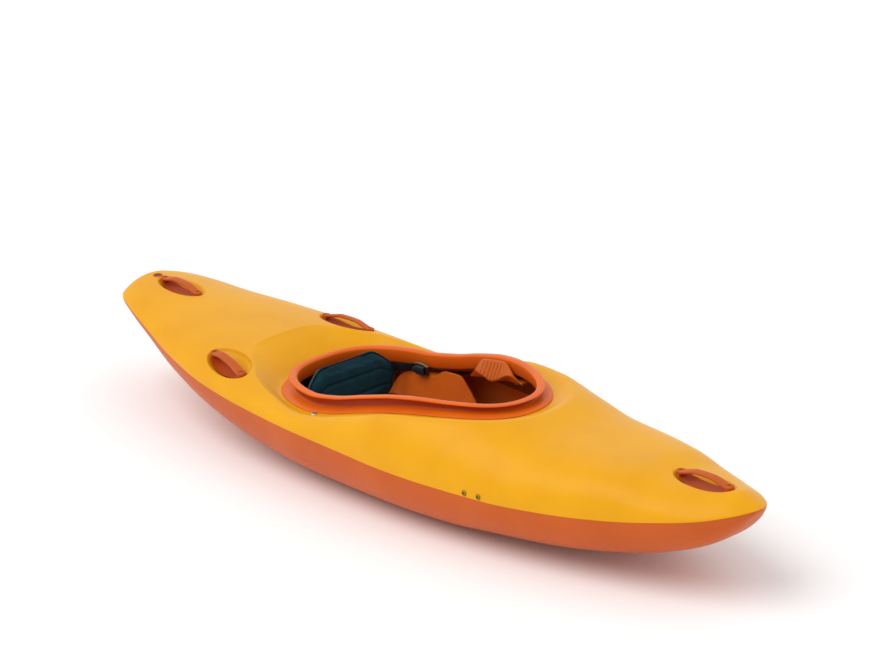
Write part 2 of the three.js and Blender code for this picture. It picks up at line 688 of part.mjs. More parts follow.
// Half width of the cockpit opening at x
function openingHalfWidth(x) {
  const behind = x < OPENING.widestX;
  const power = behind ? OPENING.rearPower : OPENING.frontPower;
  const along = Math.abs(x - OPENING.widestX) / (behind ? OPENING.rear : OPENING.front);
  return OPENING.halfWidth * Math.max(0, 1 - along ** power) ** (1 / power);
}

function thighBoltY(x) {
  return openingHalfWidth(x) + THIGH.boltOffset;
}

// Thigh brace: a plate hung under the deck's edge. It rises inside the coaming to a crest, and
// slopes from there down to an edge that reaches in over the paddler's thigh.
function thighBrace(side) {
  const rings = stepped(-20, 226, 12).map((x) => {
    const reach = thighReach(x);
    const low = thighEdge(x);
    const raised = ease(-20, 50, x) * (1 - ease(140, 222, x));
    const crest = THIGH.plate + (THIGH.crest - THIGH.plate) * raised;
    const section = [
      [34, -16], [6, -14], [-Math.min(8, reach * 0.4), THIGH.plate - 0.3],
      [-Math.min(8.1, reach * 0.45), crest], [-Math.min(12, reach * 0.7), crest - 0.4],
      [-reach * 0.82, low + (crest - low) * 0.3], [-reach, low],
      [2 - reach, Math.max(low - 5, -19.8)], [-Math.min(6, reach * 0.3), -20], [35, -22],
    ];
    return section.map(([out, up]) => [x, side * (openingHalfWidth(x) + out), shelfHeight(x) + up]);
  });
  let brace = loft(rings);
  for (const x of THIGH.boltsX) {
    const slotLong = 2 * (THIGH.travel + 5);
    brace = brace.subtract(block(slotLong, 12, 60, x, side * thighBoltY(x), shelfHeight(x)));
  }
  return brace;
}

// Bolt that hangs from the coaming's foot through the brace's slot, its head below the brace
function thighBolt(x, side) {
  const head = shelfHeight(x) - THIGH.boltDrop;
  const frame = at(x, side * thighBoltY(x), 0);
  return turned([
    [0, head - 4], [9, head - 4], [9, head], [3, head], [3, shelfHeight(x) - 1.5],
    [0, shelfHeight(x) - 1.5],
  ], frame);
}

// Upright foam wall that keeps the deck and the hull apart
function foamPillar(stations, thick) {
  return loft(stations.map((x) => {
    const foot = hullHeight(x, 0) + SKIN + 4;
    const head = deckHeight(x, 0) - SKIN - 5;
    return [[x, -thick / 2, foot], [x, thick / 2, foot], [x, thick / 2, head], [x, -thick / 2, head]];
  }));
}

// Footplate's outline: [half width, height]
const FOOTPLATE_OUTLINE = [
  [60, 74], [112, 86], [140, 112], [150, 150], [148, 210], [126, 244], [70, 256],
];

function footplateSlab(from, to, inset) {
  const port = FOOTPLATE_OUTLINE.map(([y, z]) => [y - inset, z + (z < 165 ? inset : -inset)]);
  const starboard = port.map(([y, z]) => [-y, z]).reverse();
  return loft([from, to].map((x) => [...port, ...starboard].map(([y, z]) => [x, y, z])));
}

// Footplate with two pairs of lugs that hold the clamps from above and below
function footrestPlate() {
  const { x, thick } = FOOTPLATE;
  let plate = footplateSlab(x, x + thick, 0);
  for (const side of [-1, 1]) {
    for (const dz of [-20, 20]) {
      plate = plate.add(block(40, 36, 4, x + 20, side * 154, RAIL.z + dz));
    }
  }
  return plate;
}

// Clamp that slides on the rail
function footrestClamp(side) {
  const x = FOOTPLATE.x + 27;
  const body = block(34, 26, 34, x, side * RAIL.y, RAIL.z);
  return body.subtract(block(40, RAIL.thick + 2, RAIL.tall + 1.6, x, side * RAIL.y, RAIL.z));
}

// Bent flat bar, bolted to the side of the deck at the back and free at the front
function footrestRail(side) {
  const wall = halfBeam(RAIL_BOLT.stations[1]) - SKIN - 13;
  const route = [[RAIL.rear, wall], [520, wall - 6], [RAIL.bend, RAIL.y], [RAIL.front, RAIL.y]];
  let rail = loft(route.map(([x, y]) => {
    const corner = (dy, dz) => [x, side * (y + dy), RAIL.z + dz];
    const [t, h] = [RAIL.thick / 2, RAIL.tall / 2];
    return [corner(-t, -h), corner(t, -h), corner(t, h), corner(-t, h)];
  }));
  for (const x of RAIL_BOLT.stations) {
    const frame = sideways(x, 0, RAIL.z, side);
    const spacer = round(7, wall - 4, halfBeam(x) - SKIN - 8, frame);
    rail = rail.add(spacer).subtract(round(RAIL_BOLT.shank + 0.4, 180, 320, frame));
  }
  return rail;
}

// Bolt through the deck's side and the rail
function railBolt(x, side) {
  const frame = sideways(x, side * halfBeam(x), RAIL.z, side).multiply(at(0, 0, -1.2));
  return bolt(RAIL_BOLT.shank, 36, RAIL_BOLT.head, 4, frame);
}

const group = new THREE.Group();

function addMesh(name, solid, material, frame = new THREE.Matrix4()) {
  const mesh = new THREE.Mesh(geometryOf(solid), material);
  mesh.name = name;
  mesh.applyMatrix4(frame);
  group.add(mesh);
}

function finish(color, roughness, metalness = 0) {
  return new THREE.MeshStandardMaterial({ color, roughness, metalness });
}

const YELLOW_PE = () => finish("#e8a21e", 0.42);
const ORANGE_PE = () => finish("#bd5a24", 0.45);
const RIM_ORANGE = () => finish("#c2551a", 0.4);
const SEAT_ORANGE = () => finish("#a84a14", 0.5);
const STEEL = () => finish("#b9bcc0", 0.3, 1);
const DARK_STEEL = () => finish("#4b4a4a", 0.4, 1);
const FOAM = () => finish("#3a3c40", 0.95);
const WEBBING = () => finish("#15171a", 0.8);
const GREY_PLASTIC = () => finish("#8d9094", 0.45);

addMesh("deck_shell", deckShell(), YELLOW_PE());
addMesh("hull_shell", hullShell(), ORANGE_PE());
addMesh("cockpit_coaming", rimLoft(COAMING_PROFILE), RIM_ORANGE());

for (const [name, handle] of Object.entries(GRAB_HANDLES)) {
  addMesh(name, grabHandle(handle), RIM_ORANGE(), handleFrame(handle));
  handleBoltFrames(handle).forEach((frame, i) => {
    const { shank, length, head, headHeight } = HANDLE_BOLT;
    const seated = frame.multiply(at(0, 0, HANDLE_BOLT.seat + 0.3));
    const solid = bolt(shank, length, head, headHeight, new THREE.Matrix4());
    addMesh(`${name}_bolt_${["front", "rear"][i]}`, solid, DARK_STEEL(), seated);
  });
}

addMesh("drain_seat", drainSeat(), RIM_ORANGE());
addMesh("drain_plug", drainPlug(), finish("#7a3a14", 0.6));
addMesh("seat_pan", seatPan(), SEAT_ORANGE());
addMesh("backband_shell", backbandShell(), finish("#101418", 0.5));
addMesh("backband_pad", backbandPad(), finish("#17242b", 0.6));
addMesh("front_pillar", foamPillar(stepped(796, 905, 3), 60), FOAM());
addMesh("rear_pillar", foamPillar([-925, -800, -680, -620, -580, -540, -500, -450, -405], 60), FOAM());
addMesh("footrest_plate", footrestPlate(), finish("#202326", 0.5));
addMesh("footrest_pad", footplateSlab(FOOTPLATE.x - FOOTPLATE.padThick, FOOTPLATE.x - 0.4, 6), FOAM());

for (const [name, side] of [["port", 1], ["starboard", -1]]) {
  addMesh(`thigh_brace_${name}`, thighBrace(side), SEAT_ORANGE());
  THIGH.boltsX.forEach((x, i) => {
    addMesh(`thigh_brace_bolt_${name}_${i + 1}`, thighBolt(x, side), STEEL());
  });
  RAIL_BOLT.stations.forEach((x, i) => {
    addMesh(`footrest_rail_bolt_${name}_${i + 1}`, railBolt(x, side), STEEL());
  });
  addMesh(`backband_pin_${name}`, backbandPin(side), STEEL());
  addMesh(`backband_strap_${name}`, backbandStrap(side), WEBBING());
  addMesh(`ratchet_base_${name}`, ratchetBase(side), GREY_PLASTIC());
  addMesh(`ratchet_lever_${name}`, ratchetLever(side), finish("#26292c", 0.4));
  addMesh(`footrest_rail_${name}`, footrestRail(side), finish("#a7abb0", 0.35, 1));
  addMesh(`footrest_clamp_${name}`, footrestClamp(side), finish("#202326", 0.5));

  // Bolt down through the deck and the seat's wing, with its nut under the wing
  const top = deckHeight(SEAT_BOLT.x, SEAT_BOLT.y) - 2.2;
  const frame = at(SEAT_BOLT.x, side * SEAT_BOLT.y, top);
  const reach = top - SEAT.wingZ + 20;
  addMesh(`seat_bolt_${name}`, bolt(SEAT_BOLT.shank, reach, SEAT_BOLT.head, 5, frame), STEEL());
  const nutTop = SEAT.wingZ - 4;
  addMesh(`seat_nut_${name}`, turned([
    [SEAT_BOLT.shank + 0.3, nutTop - 7], [8.5, nutTop - 7], [8.5, nutTop],
    [SEAT_BOLT.shank + 0.3, nutTop], [SEAT_BOLT.shank + 0.3, nutTop - 7],
  ], at(SEAT_BOLT.x, side * SEAT_BOLT.y, 0)), STEEL());
}

export default group;
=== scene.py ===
"""Whitewater kayak: moulded skins, outfitting, finishes, light and view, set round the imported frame.

Sizes are in millimetres until a piece is made, and then in metres. +X points to the bow, +Y to port.
"""
import math

import bmesh
import bpy
import numpy as np
from mathutils import Matrix, Vector
from mathutils.geometry import delaunay_2d_cdt


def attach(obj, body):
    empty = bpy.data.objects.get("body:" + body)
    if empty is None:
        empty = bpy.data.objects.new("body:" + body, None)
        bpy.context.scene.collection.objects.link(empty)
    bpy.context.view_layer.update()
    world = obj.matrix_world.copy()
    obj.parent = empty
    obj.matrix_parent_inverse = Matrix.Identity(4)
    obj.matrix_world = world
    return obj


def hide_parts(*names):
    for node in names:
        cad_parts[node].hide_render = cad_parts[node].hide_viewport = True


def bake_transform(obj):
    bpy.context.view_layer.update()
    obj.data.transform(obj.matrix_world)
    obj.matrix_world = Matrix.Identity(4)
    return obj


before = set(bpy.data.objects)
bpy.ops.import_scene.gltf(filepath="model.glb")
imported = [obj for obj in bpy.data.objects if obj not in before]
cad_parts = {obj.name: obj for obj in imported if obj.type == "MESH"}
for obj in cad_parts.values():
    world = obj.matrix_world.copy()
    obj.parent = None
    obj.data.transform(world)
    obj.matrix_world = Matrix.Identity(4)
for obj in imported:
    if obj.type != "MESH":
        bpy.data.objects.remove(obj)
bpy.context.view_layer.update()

MM = 0.001
SIDES = {"port": 1, "starboard": -1}

# View: degrees and millimetres, with the lens as on a 36 mm wide film
CAMERA = {"azimuth": 48.15, "elevation": 20.17, "roll": -2.12, "distance": 8464, "lens": 120.52,
          "target": (-377.5, 418.5, 200)}

# Light: the sky's strength, and two wide lamps with their strength, and spread and tilt in degrees
SKY = 0.7
LAMPS = {"key": (1.3, 50, (32, -18, 0)), "fill": (0.3, 90, (-30, 40, 0))}

# Hull lines: [distance forward of the middle, value], joined by smooth curves
LENGTH = 2400
HALF_BEAM = [
    [-1200, 46], [-1192, 88], [-1165, 124], [-1095, 156], [-950, 200], [-800, 242], [-600, 283],
    [-400, 305], [-150, 317], [100, 315], [300, 300], [500, 273], [700, 234], [850, 193],
    [1000, 149], [1100, 109], [1155, 72], [1188, 36], [1200, 10],
]
SEAM_HEIGHT = [
    [-1200, 280], [-1100, 268], [-950, 242], [-800, 215], [-600, 192], [-400, 182], [0, 171],
    [300, 162], [500, 162], [700, 172], [850, 186], [1000, 211], [1100, 231], [1200, 258],
]
KEEL_HEIGHT = [
    [-1200, 258], [-1100, 224], [-950, 170], [-800, 114], [-600, 58], [-400, 20], [-200, 3],
    [0, 0], [300, 4], [500, 22], [700, 42], [850, 68], [1000, 110], [1100, 156], [1155, 200],
    [1188, 238], [1200, 250],
]
CROWN_HEIGHT = [
    [-1200, 308], [-1140, 306], [-950, 294], [-800, 284], [-650, 274], [-560, 268], [-400, 259],
    [-200, 248], [0, 309], [150, 383], [300, 368], [450, 330], [600, 300], [720, 296], [850, 295],
    [960, 281], [1060, 284], [1130, 288], [1200, 262],
]
# The deck's section is (1 - across^squareness)^softness, as in the frame
DECK_SQUARENESS = [
    [-1200, 2.0], [-1000, 1.85], [-800, 2.1], [-500, 2.2], [-200, 2.45], [200, 2.6], [550, 3.1],
    [800, 3.45], [900, 3.3], [1000, 2.5], [1100, 1.65], [1200, 1.3],
]
DECK_SOFTNESS = [
    [-1200, 0.82], [-1000, 0.7], [-800, 0.48], [-600, 0.42], [-200, 0.48], [550, 0.5],
    [800, 0.42], [900, 0.42], [1000, 0.52], [1100, 0.68], [1200, 0.78],
]
SHELF_HEIGHT = [
    [-600, 215], [-450, 200], [-220, 204], [-110, 222], [0, 252], [110, 278], [220, 294],
    [330, 300], [450, 300], [520, 302],
]
SHELF_REACH = [
    [-620, 190], [-580, 179], [-526, 146], [-450, 110], [-306, 86], [-270, 92], [-200, 108],
    [100, 113],
]
# Behind the cockpit the deck climbs from its shelf at once, and ahead of it gently: the two stations
# between which the one turns into the other
SHELF_TURN = (-430, -180)
SHELF_EDGE = 0.88  # share of the half beam where the shelf starts to give way to the gunwale
HULL_SQUARENESS = 3.6
FLAT_DEPTH = 1.2
SEAM_GAP = 0.3
SKIN = 7
TIP_ROUND = 11  # how far in from its ends the shell curves down to the seam

# Cockpit
OPENING = {"widest_x": -120, "rear": 283, "front": 505, "half_width": 199, "rear_power": 2.6,
           "front_power": 2.25}
FLANGE_WIDTH = 44
DECK_HOLE = 13
COAMING_HEIGHT = 43
COAMING_ROUNDS = 340  # sections round the coaming
COAMING_DIP = {"depth": 13, "start": 80, "end": 400}  # how its lip sinks towards the bow
COAMING_PROFILE = [
    (0, 0.6), (44, 0.6), (44, 3), (32, 6.5), (11, 9), (7.5, 14), (7.5, 31), (24, 34), (24, 41),
    (10, 43), (1, 39),
]

# Grab handles: ends of the bar, its lean in degrees, and how much further its pocket reaches to
# one side (to starboard if less than 0)
GRAB_HANDLES = {
    "bow_grab_handle": ((931, 0), (1113, 0), 0, 0),
    "stern_grab_handle": ((-1131, 0), (-955, 0), 0, 0),
    "port_side_grab_handle": ((-645, 202), (-470, 237), -12, -12),
    "starboard_side_grab_handle": ((-645, -202), (-470, -237), 12, 12),
}
POCKET_PROFILE = [[0, -26], [0.5, -26], [0.82, -14], [0.96, -6], [1, 0], [1.08, 7], [1.3, 30]]
POCKET = {"half_width": 46, "margin": 6, "rounding": 5}
HANDLE = {"half": 89, "arch_width": 27, "arch_thick": 9.5, "arch_rise": 13, "base_half_width": 26,
          "base_outboard": 32, "base_thick": 4.2, "bolt_inset": 12, "voxel": 1.25}

# Fasteners, seat, back band and braces
DRAIN = {"x": -1155, "plug": 11, "seat": 15, "depth": 16}
SEAT_BOLT = {"x": -153, "y": 254, "shank": 3.6, "head": 9, "sunk": 2.2}
RAIL_BOLT = {"stations": (458, 502), "z": 172, "shank": 3, "head": 8}
SEAT = {"cheek_rear": -322, "rear": -250, "front": 58, "half_width": 188, "thick": 6, "wing_z": 187}
CHEEK_INSIDE = 150
WALL_POWER = 4.5
BAND = {"x": -266, "half_width": 155, "foot_half_width": 134, "bottom": 122, "top": 256,
        "corner": 0.6, "corner_drop": 52, "lean": 52}
BAND_HINGE = {"x": -262, "z": 106, "lug_y": 95.5, "ear_y": 104}
RATCHET = {"x": -208, "y": 182, "z": 203}
THIGH_REACH = [[-20, 3], [20, 20], [58, 35], [133, 35], [180, 22], [208, 9], [226, 3]]
THIGH_EDGE = [
    [-20, -16], [0, -4], [20, 5], [58, 0], [105, -15], [133, -10], [180, 6], [208, -8], [226, -16],
]
THIGH = {"rear": -19.5, "front": 225.5, "plate": -12.5, "crest": 35, "ribs": range(56, 137, 16)}
WING = {"half_length": 43, "half_thick": 3, "past_bolt": 16}  # the seat's, round each seat bolt
RUNNER = {"rear": -190, "front": 10, "inner_y": 92, "outer_y": 100}
BAND_SHEET = {"across": 0.97, "low": 0.04, "high": 0.96, "thick": 4}
PAD = {"across": 0.985, "low": 0.03, "high": 0.97, "edge": 5, "swell": 9, "voxel": 4.5, "give": 7,
       "channels": (0.34, 0.66), "channel_width": 3.6, "channel_depth": 4.2}
PIPING = {"low": 0.015, "high": 0.985, "radius": 2.2}
STRAP = {"half_thick": 1.1, "half_wide": 11, "start": (-295, 158, 196)}
FOAM_WALLS = {"front": (797, 904), "rear": (-924, -406)}
FOAM_WALL = {"half_thick": 30, "edge": 5, "off_floor": 5, "off_deck": 6}
FOOT_PAD = {"back": 639.6, "thick": 15.6, "inset": 6}
FOOTPLATE_OUTLINE = [(60, 74), (112, 86), (140, 112), (150, 150), (148, 210), (126, 244), (70, 256)]


# Curves and the boat's lines

def smooth(stations):
    """A monotone cubic through [x, value] stations, which never overshoots them."""
    xs, values = np.array(stations, float).T
    gap = np.diff(xs)
    slope = np.diff(values) / gap
    tangent = np.concatenate([slope[:1], np.zeros(len(xs) - 2), slope[-1:]])
    w1 = 2 * gap[1:] + gap[:-1]
    w2 = gap[1:] + 2 * gap[:-1]
    turns = slope[:-1] * slope[1:] <= 0
    before = np.where(turns, 1, slope[:-1])
    after = np.where(turns, 1, slope[1:])
    tangent[1:-1] = np.where(turns, 0, (w1 + w2) / (w1 / before + w2 / after))

    def value(x):
        x = np.clip(np.asarray(x, float), xs[0], xs[-1])
        i = np.clip(np.searchsorted(xs, x) - 1, 0, len(xs) - 2)
        t = (x - xs[i]) / gap[i]
        t2, t3 = t * t, t * t * t
        ends = (2 * t3 - 3 * t2 + 1) * values[i] + (3 * t2 - 2 * t3) * values[i + 1]
        return ends + gap[i] * ((t3 - 2 * t2 + t) * tangent[i] + (t3 - t2) * tangent[i + 1])

    return value


half_beam = smooth(HALF_BEAM)
seam_height = smooth(SEAM_HEIGHT)
keel_height = smooth(KEEL_HEIGHT)
crown_height = smooth(CROWN_HEIGHT)
deck_squareness = smooth(DECK_SQUARENESS)
deck_softness = smooth(DECK_SOFTNESS)
shelf_height = smooth(SHELF_HEIGHT)
shelf_reach = smooth(SHELF_REACH)
pocket_height = smooth(POCKET_PROFILE)
thigh_reach = smooth(THIGH_REACH)
thigh_edge = smooth(THIGH_EDGE)


def ease(start, end, value):
    """0 before start, 1 past end, and a smooth step between them."""
    t = np.clip((value - start) / (end - start), 0, 1)
    return t * t * (3 - 2 * t)


def soft_min(a, b, radius):
    """The lower of two heights, with the corner between them rounded off."""
    near = np.clip(radius - np.abs(a - b), 0, None) / radius
    return np.minimum(a, b) - near * near * radius / 4


def outline_point(angle, offset):
    """The cockpit outline at an angle (0 at the front), moved outwards by offset."""
    c, s = np.cos(angle), np.sin(angle)
    power = np.where(c < 0, OPENING["rear_power"], OPENING["front_power"])
    reach = np.where(c < 0, OPENING["rear"], OPENING["front"]) + offset
    x = OPENING["widest_x"] + reach * np.sign(c) * np.abs(c) ** (2 / power)
    y = (OPENING["half_width"] + offset) * np.sign(s) * np.abs(s) ** (2 / power)
    return x, y


def outline_offset(x, y):
    """How far a point lies outside the cockpit opening's edge."""
    dx = np.abs(x - OPENING["widest_x"])
    dy = np.abs(y)
    behind = x < OPENING["widest_x"]
    power = np.where(behind, OPENING["rear_power"], OPENING["front_power"])
    reach = np.where(behind, OPENING["rear"], OPENING["front"])
    low = np.full(np.shape(dx), 1.0 - OPENING["half_width"])
    high = np.full(np.shape(dx), float(LENGTH))
    for _ in range(40):
        mid = (low + high) / 2
        outside = (dx / (reach + mid)) ** power + (dy / (OPENING["half_width"] + mid)) ** power > 1
        low = np.where(outside, mid, low)
        high = np.where(outside, high, mid)
    return low


def outline_angles(count, offset):
    """Angles round the cockpit, an equal distance apart along its outline."""
    fine = np.linspace(0, 2 * np.pi, 4001)
    x, y = outline_point(fine, offset)
    run = np.concatenate([[0], np.cumsum(np.hypot(np.diff(x), np.diff(y)))])
    return np.interp(np.arange(count) * run[-1] / count, run, fine)


def opening_half_width(x):
    """Half width of the cockpit's opening at x, and 0 beyond its ends."""
    behind = x < OPENING["widest_x"]
    power = OPENING["rear_power"] if behind else OPENING["front_power"]
    reach = OPENING["rear"] if behind else OPENING["front"]
    along = abs(x - OPENING["widest_x"]) / reach
    return OPENING["half_width"] * max(0, 1 - along ** power) ** (1 / power)


def deck_height(x, y):
    """The deck's outer face: its crown, sunk to a shelf round the cockpit, without the pockets."""
    x, y = np.asarray(x, float), np.asarray(y, float)
    across = np.clip(np.abs(y) / half_beam(x), 0, 1)
    seam = seam_height(x)
    rise = (1 - across ** deck_squareness(x)) ** deck_softness(x)
    clear = seam + (crown_height(x) - seam) * rise
    behind = 1 - ease(*SHELF_TURN, x)
    foot = FLANGE_WIDTH + 4
    t = np.clip((outline_offset(x, y) - foot) / (shelf_reach(x) - foot), 0, 1)
    climb = behind * t ** 1.6 + (1 - behind) * ease(0, 1, t)
    on_shelf = (1 - climb) * (1 - ease(SHELF_EDGE, 1, across))
    return clear * (1 - on_shelf) + shelf_height(x) * on_shelf


def tip_share(x):
    """1 along the boat, and down to 0 along a quarter circle at its two ends."""
    near = np.clip(1 - (LENGTH / 2 - np.abs(x)) / TIP_ROUND, 0, 1)
    return np.sqrt(1 - near * near)


def hull_height(x, y):
    """The hull's outer face, flat where it would reach under the ground."""
    across = np.clip(np.abs(y) / half_beam(x), 0, 1)
    seam = seam_height(x)
    z = seam - (seam - keel_height(x)) * np.sqrt(1 - across ** HULL_SQUARENESS)
    return np.maximum(0, z - FLAT_DEPTH)


def handle_frame(name):
    """4x4 placement of a handle: x along its bar, z out of the deck, as in the frame."""
    rear, front, roll, _ = GRAB_HANDLES[name]
    a, b = (Vector((x, y, float(deck_height(x, y)))) for x, y in (rear, front))
    along = (b - a).normalized()
    side = Vector((0, 0, 1)).cross(along).normalized()
    up = along.cross(side)
    turn = Matrix((along, side, up)).transposed().to_4x4()
    return Matrix.Translation((a + b) / 2) @ turn @ Matrix.Rotation(math.radians(roll), 4, "X")


def handle_half(name):
    """Half of a handle's length."""
    (x0, y0), (x1, y1), *_ = GRAB_HANDLES[name]
    return math.hypot(x1 - x0, y1 - y0) / 2


# Meshes: a part is (points in millimetres, faces)

def grid_faces(rows, columns, wrap_rows=False, wrap_columns=False):
    """Four-cornered faces between the points of a grid, which may close on itself either way."""
    r = np.arange(rows if wrap_rows else rows - 1)[:, None]
    c = np.arange(columns if wrap_columns else columns - 1)[None, :]
    r2, c2 = (r + 1) % rows, (c + 1) % columns
    corners = [r * columns + c, r * columns + c2, r2 * columns + c2, r2 * columns + c]
    return np.stack(corners, -1).reshape(-1, 4).tolist()


def loft(rings, ring_shaped=False):
    """A closed part through rings of equal counts, with a face over each end unless they join up."""
    rings = np.asarray(rings, float)
    rows, columns = rings.shape[:2]
    faces = grid_faces(rows, columns, ring_shaped, True)
    if not ring_shaped:
        first = list(range(columns))
        faces += [first[::-1], [(rows - 1) * columns + i for i in first]]
    return rings.reshape(-1, 3), faces


def at_x(x, section):
    """A section across the boat, [y, z], as a ring of points at x."""
    return np.column_stack([np.full(len(section), x), section])


def lofted(section, stations):
    """A closed part through the sections that a function gives at the stations along the boat."""
    return outward(loft([at_x(x, section(x)) for x in stations]))


def swept(section, route):
    """A closed part whose section, [y, z], stays upright across the boat and follows a route."""
    return outward(loft([[(x, y + a, z + b) for a, b in section] for x, y, z in route]))


def round_angles(count):
    """Angles for count points evenly round a circle."""
    return np.arange(count) * 2 * np.pi / count


def hoop(profile, x, count):
    """A ring about an upright axis at x, from the outline of its section, [radius, z]."""
    rings = [[(x + r * math.cos(a), r * math.sin(a), z) for r, z in profile] for a in round_angles(count)]
    return outward(loft(rings, ring_shaped=True))


def turned(profile, segments=40, socket=0):
    """A part of revolution about z. Points nearer the axis than socket follow a hexagon."""
    angle = round_angles(segments)
    hexagon = np.cos(np.pi / 6) / np.cos((angle % (np.pi / 3)) - np.pi / 6)
    rings = []
    for r, z in profile:
        shape = r * (hexagon if r <= socket else np.ones(segments))
        rings.append(np.stack([shape * np.cos(angle), shape * np.sin(angle), np.full(segments, z)], -1))
    return loft(rings)


def joined(*parts):
    """Several parts as one, still loose from each other."""
    points, faces, start = [], [], 0
    for p, f in parts:
        points.append(np.asarray(p, float))
        faces += [[i + start for i in face] for face in f]
        start += len(p)
    return np.concatenate(points), faces


def placed(part, matrix):
    """The part moved by a 4x4 matrix in millimetres."""
    m = np.array(matrix)
    return np.asarray(part[0]) @ m[:3, :3].T + m[:3, 3], part[1]


def mirrored(part, side):
    """The part as made for port, or turned over to starboard."""
    if side > 0:
        return part
    return np.asarray(part[0]) * (1, -1, 1), [face[::-1] for face in part[1]]


def block(size, centre, radius=1.5, segments=3):
    """A box with rounded edges."""
    bm = bmesh.new()
    bmesh.ops.create_cube(bm, size=1)
    bmesh.ops.scale(bm, vec=size, verts=bm.verts)
    bmesh.ops.bevel(bm, geom=bm.edges[:], offset=min(radius, min(size) * 0.45), segments=segments,
                    profile=0.5, affect="EDGES")
    bm.verts.index_update()
    points = np.array([v.co for v in bm.verts]) + centre
    faces = [[v.index for v in f.verts] for f in bm.faces]
    bm.free()
    return points, faces


def filleted(corners, radius, steps=4):
    """A closed outline whose corners are rounded off, as an array of [a, b]."""
    corners = np.array(corners, float)
    out = []
    for before, p, after in zip(np.roll(corners, 1, 0), corners, np.roll(corners, -1, 0)):
        to_prev, to_next = before - p, after - p
        reach = min(radius, 0.45 * np.linalg.norm(to_prev), 0.45 * np.linalg.norm(to_next))
        a = p + to_prev / np.linalg.norm(to_prev) * reach
        b = p + to_next / np.linalg.norm(to_next) * reach
        for t in np.linspace(0, 1, steps):
            out.append(a * (1 - t) ** 2 + 2 * p * t * (1 - t) + b * t * t)
    return np.array(out)


def bar_section(low, high, radius, steps=3):
    """A rectangle between two of its corners, [y, z], with all of them rounded off."""
    (y0, z0), (y1, z1) = low, high
    return filleted([(y0, z0), (y1, z0), (y1, z1), (y0, z1)], radius, steps)


def new_object(name, part):
    """The part as an object in the scene, in metres."""
    mesh = bpy.data.meshes.new(name)
    mesh.from_pydata((np.asarray(part[0]) * MM).tolist(), [], part[1])
    obj = bpy.data.objects.new(name, mesh)
    bpy.context.scene.collection.objects.link(obj)
    return obj


def taken_out(obj):
    """The part that an object's modifiers leave it with. The object is removed."""
    evaluated = obj.evaluated_get(bpy.context.evaluated_depsgraph_get())
    done = evaluated.to_mesh()
    part = np.array([v.co for v in done.vertices]) / MM, [list(f.vertices) for f in done.polygons]
    evaluated.to_mesh_clear()
    bpy.data.objects.remove(obj)
    return part


def piece(name, part, material, body, replaced=(), crease=40, hollow=None):
    """A shown piece of the boat, smooth apart from edges sharper than crease degrees.

    hollow says for each point, from 0 to 1, how far it takes its material's colour for hollows: painted
    shade on the deck's inside, the coaming and the handles, and a lighter orange inside the hull. A
    piece without a body lies between two, is attached to neither, and what calls this bakes its
    placement into its points.
    """
    obj = new_object(name, part)
    mesh = obj.data
    mesh.update()
    mesh.polygons.foreach_set("use_smooth", [True] * len(mesh.polygons))
    mesh.set_sharp_from_angle(angle=math.radians(crease))
    mesh.materials.append(material)
    if hollow is not None:
        mesh.attributes.new("hollow", "FLOAT", "POINT").data.foreach_set("value", np.asarray(hollow, float))
    if body:
        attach(obj, body)
    if replaced:
        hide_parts(*replaced)
    return obj


def outward(part):
    """The part with its faces turned out, judged by its volume."""
    points = np.asarray(part[0])
    volume = 0
    for face in part[1]:
        a = points[face[0]]
        for i in range(1, len(face) - 1):
            volume += np.dot(a, np.cross(points[face[i]], points[face[i + 1]]))
    return part if volume > 0 else (points, [f[::-1] for f in part[1]])


# Shell

def laid_flat(x, y):
    """Where points of the deck lie on a flat layout of its skin, as [x, distance across]."""
    beam = half_beam(x)
    return np.stack([x, beam * np.arcsin(np.clip(y / beam, -1, 1))], -1)


def pocket_half_width(extra, y):
    """Half width of a handle's pocket on the side that y lies on."""
    return POCKET["half_width"] + np.where(y * extra > 0, abs(extra), 0)


def round_pocket(name, shares, count):
    """Points on the deck in ovals round a handle's pocket, as [x, y]."""
    m = np.array(handle_frame(name))
    long = handle_half(name) + POCKET["margin"]
    found = []
    for share in shares:
        angle = round_angles(count)
        lx = share * long * np.cos(angle)
        ly = share * np.sin(angle)
        ly *= pocket_half_width(GRAB_HANDLES[name][3], ly)
        lz = np.zeros(count)
        for _ in range(5):
            p = np.stack([lx, ly, lz], -1) @ m[:3, :3].T + m[:3, 3]
            z = deck_height(p[:, 0], p[:, 1])
            lz += (z - p[:, 2]) / m[2, 2]
        found.append(p[:, :2])
    return np.concatenate(found)


def pocket_share(name, points):
    """How far points lie from a pocket's middle (1 at its rim), and the points in its frame."""
    m = np.array(handle_frame(name))
    local = (points - m[:3, 3]) @ m[:3, :3]
    long = handle_half(name) + POCKET["margin"]
    wide = pocket_half_width(GRAB_HANDLES[name][3], local[:, 1])
    return np.hypot(local[:, 0] / long, local[:, 1] / wide), local


def sink_pockets(points):
    """Presses the handles' pockets into the deck."""
    for name in GRAB_HANDLES:
        share, local = pocket_share(name, points)
        near = share < 1.29
        m = np.array(handle_frame(name))
        local[near, 2] = soft_min(local[near, 2], pocket_height(share[near]), POCKET["rounding"])
        points[near] = local[near] @ m[:3, :3].T + m[:3, 3]
    return points


def sink_recesses(points):
    """Presses a flat round seat into the deck under each seat bolt's head."""
    for side in SIDES.values():
        x, y = SEAT_BOLT["x"], side * SEAT_BOLT["y"]
        r = np.hypot(points[:, 0] - x, points[:, 1] - y)
        near = r < 18
        floor = float(deck_height(x, y)) - SEAT_BOLT["sunk"] - 0.3
        wall = floor + np.clip(r[near] - SEAT_BOLT["head"] - 1.5, 0, None) * 2.5
        points[near, 2] = soft_min(points[near, 2], wall, 1.0)
    return points


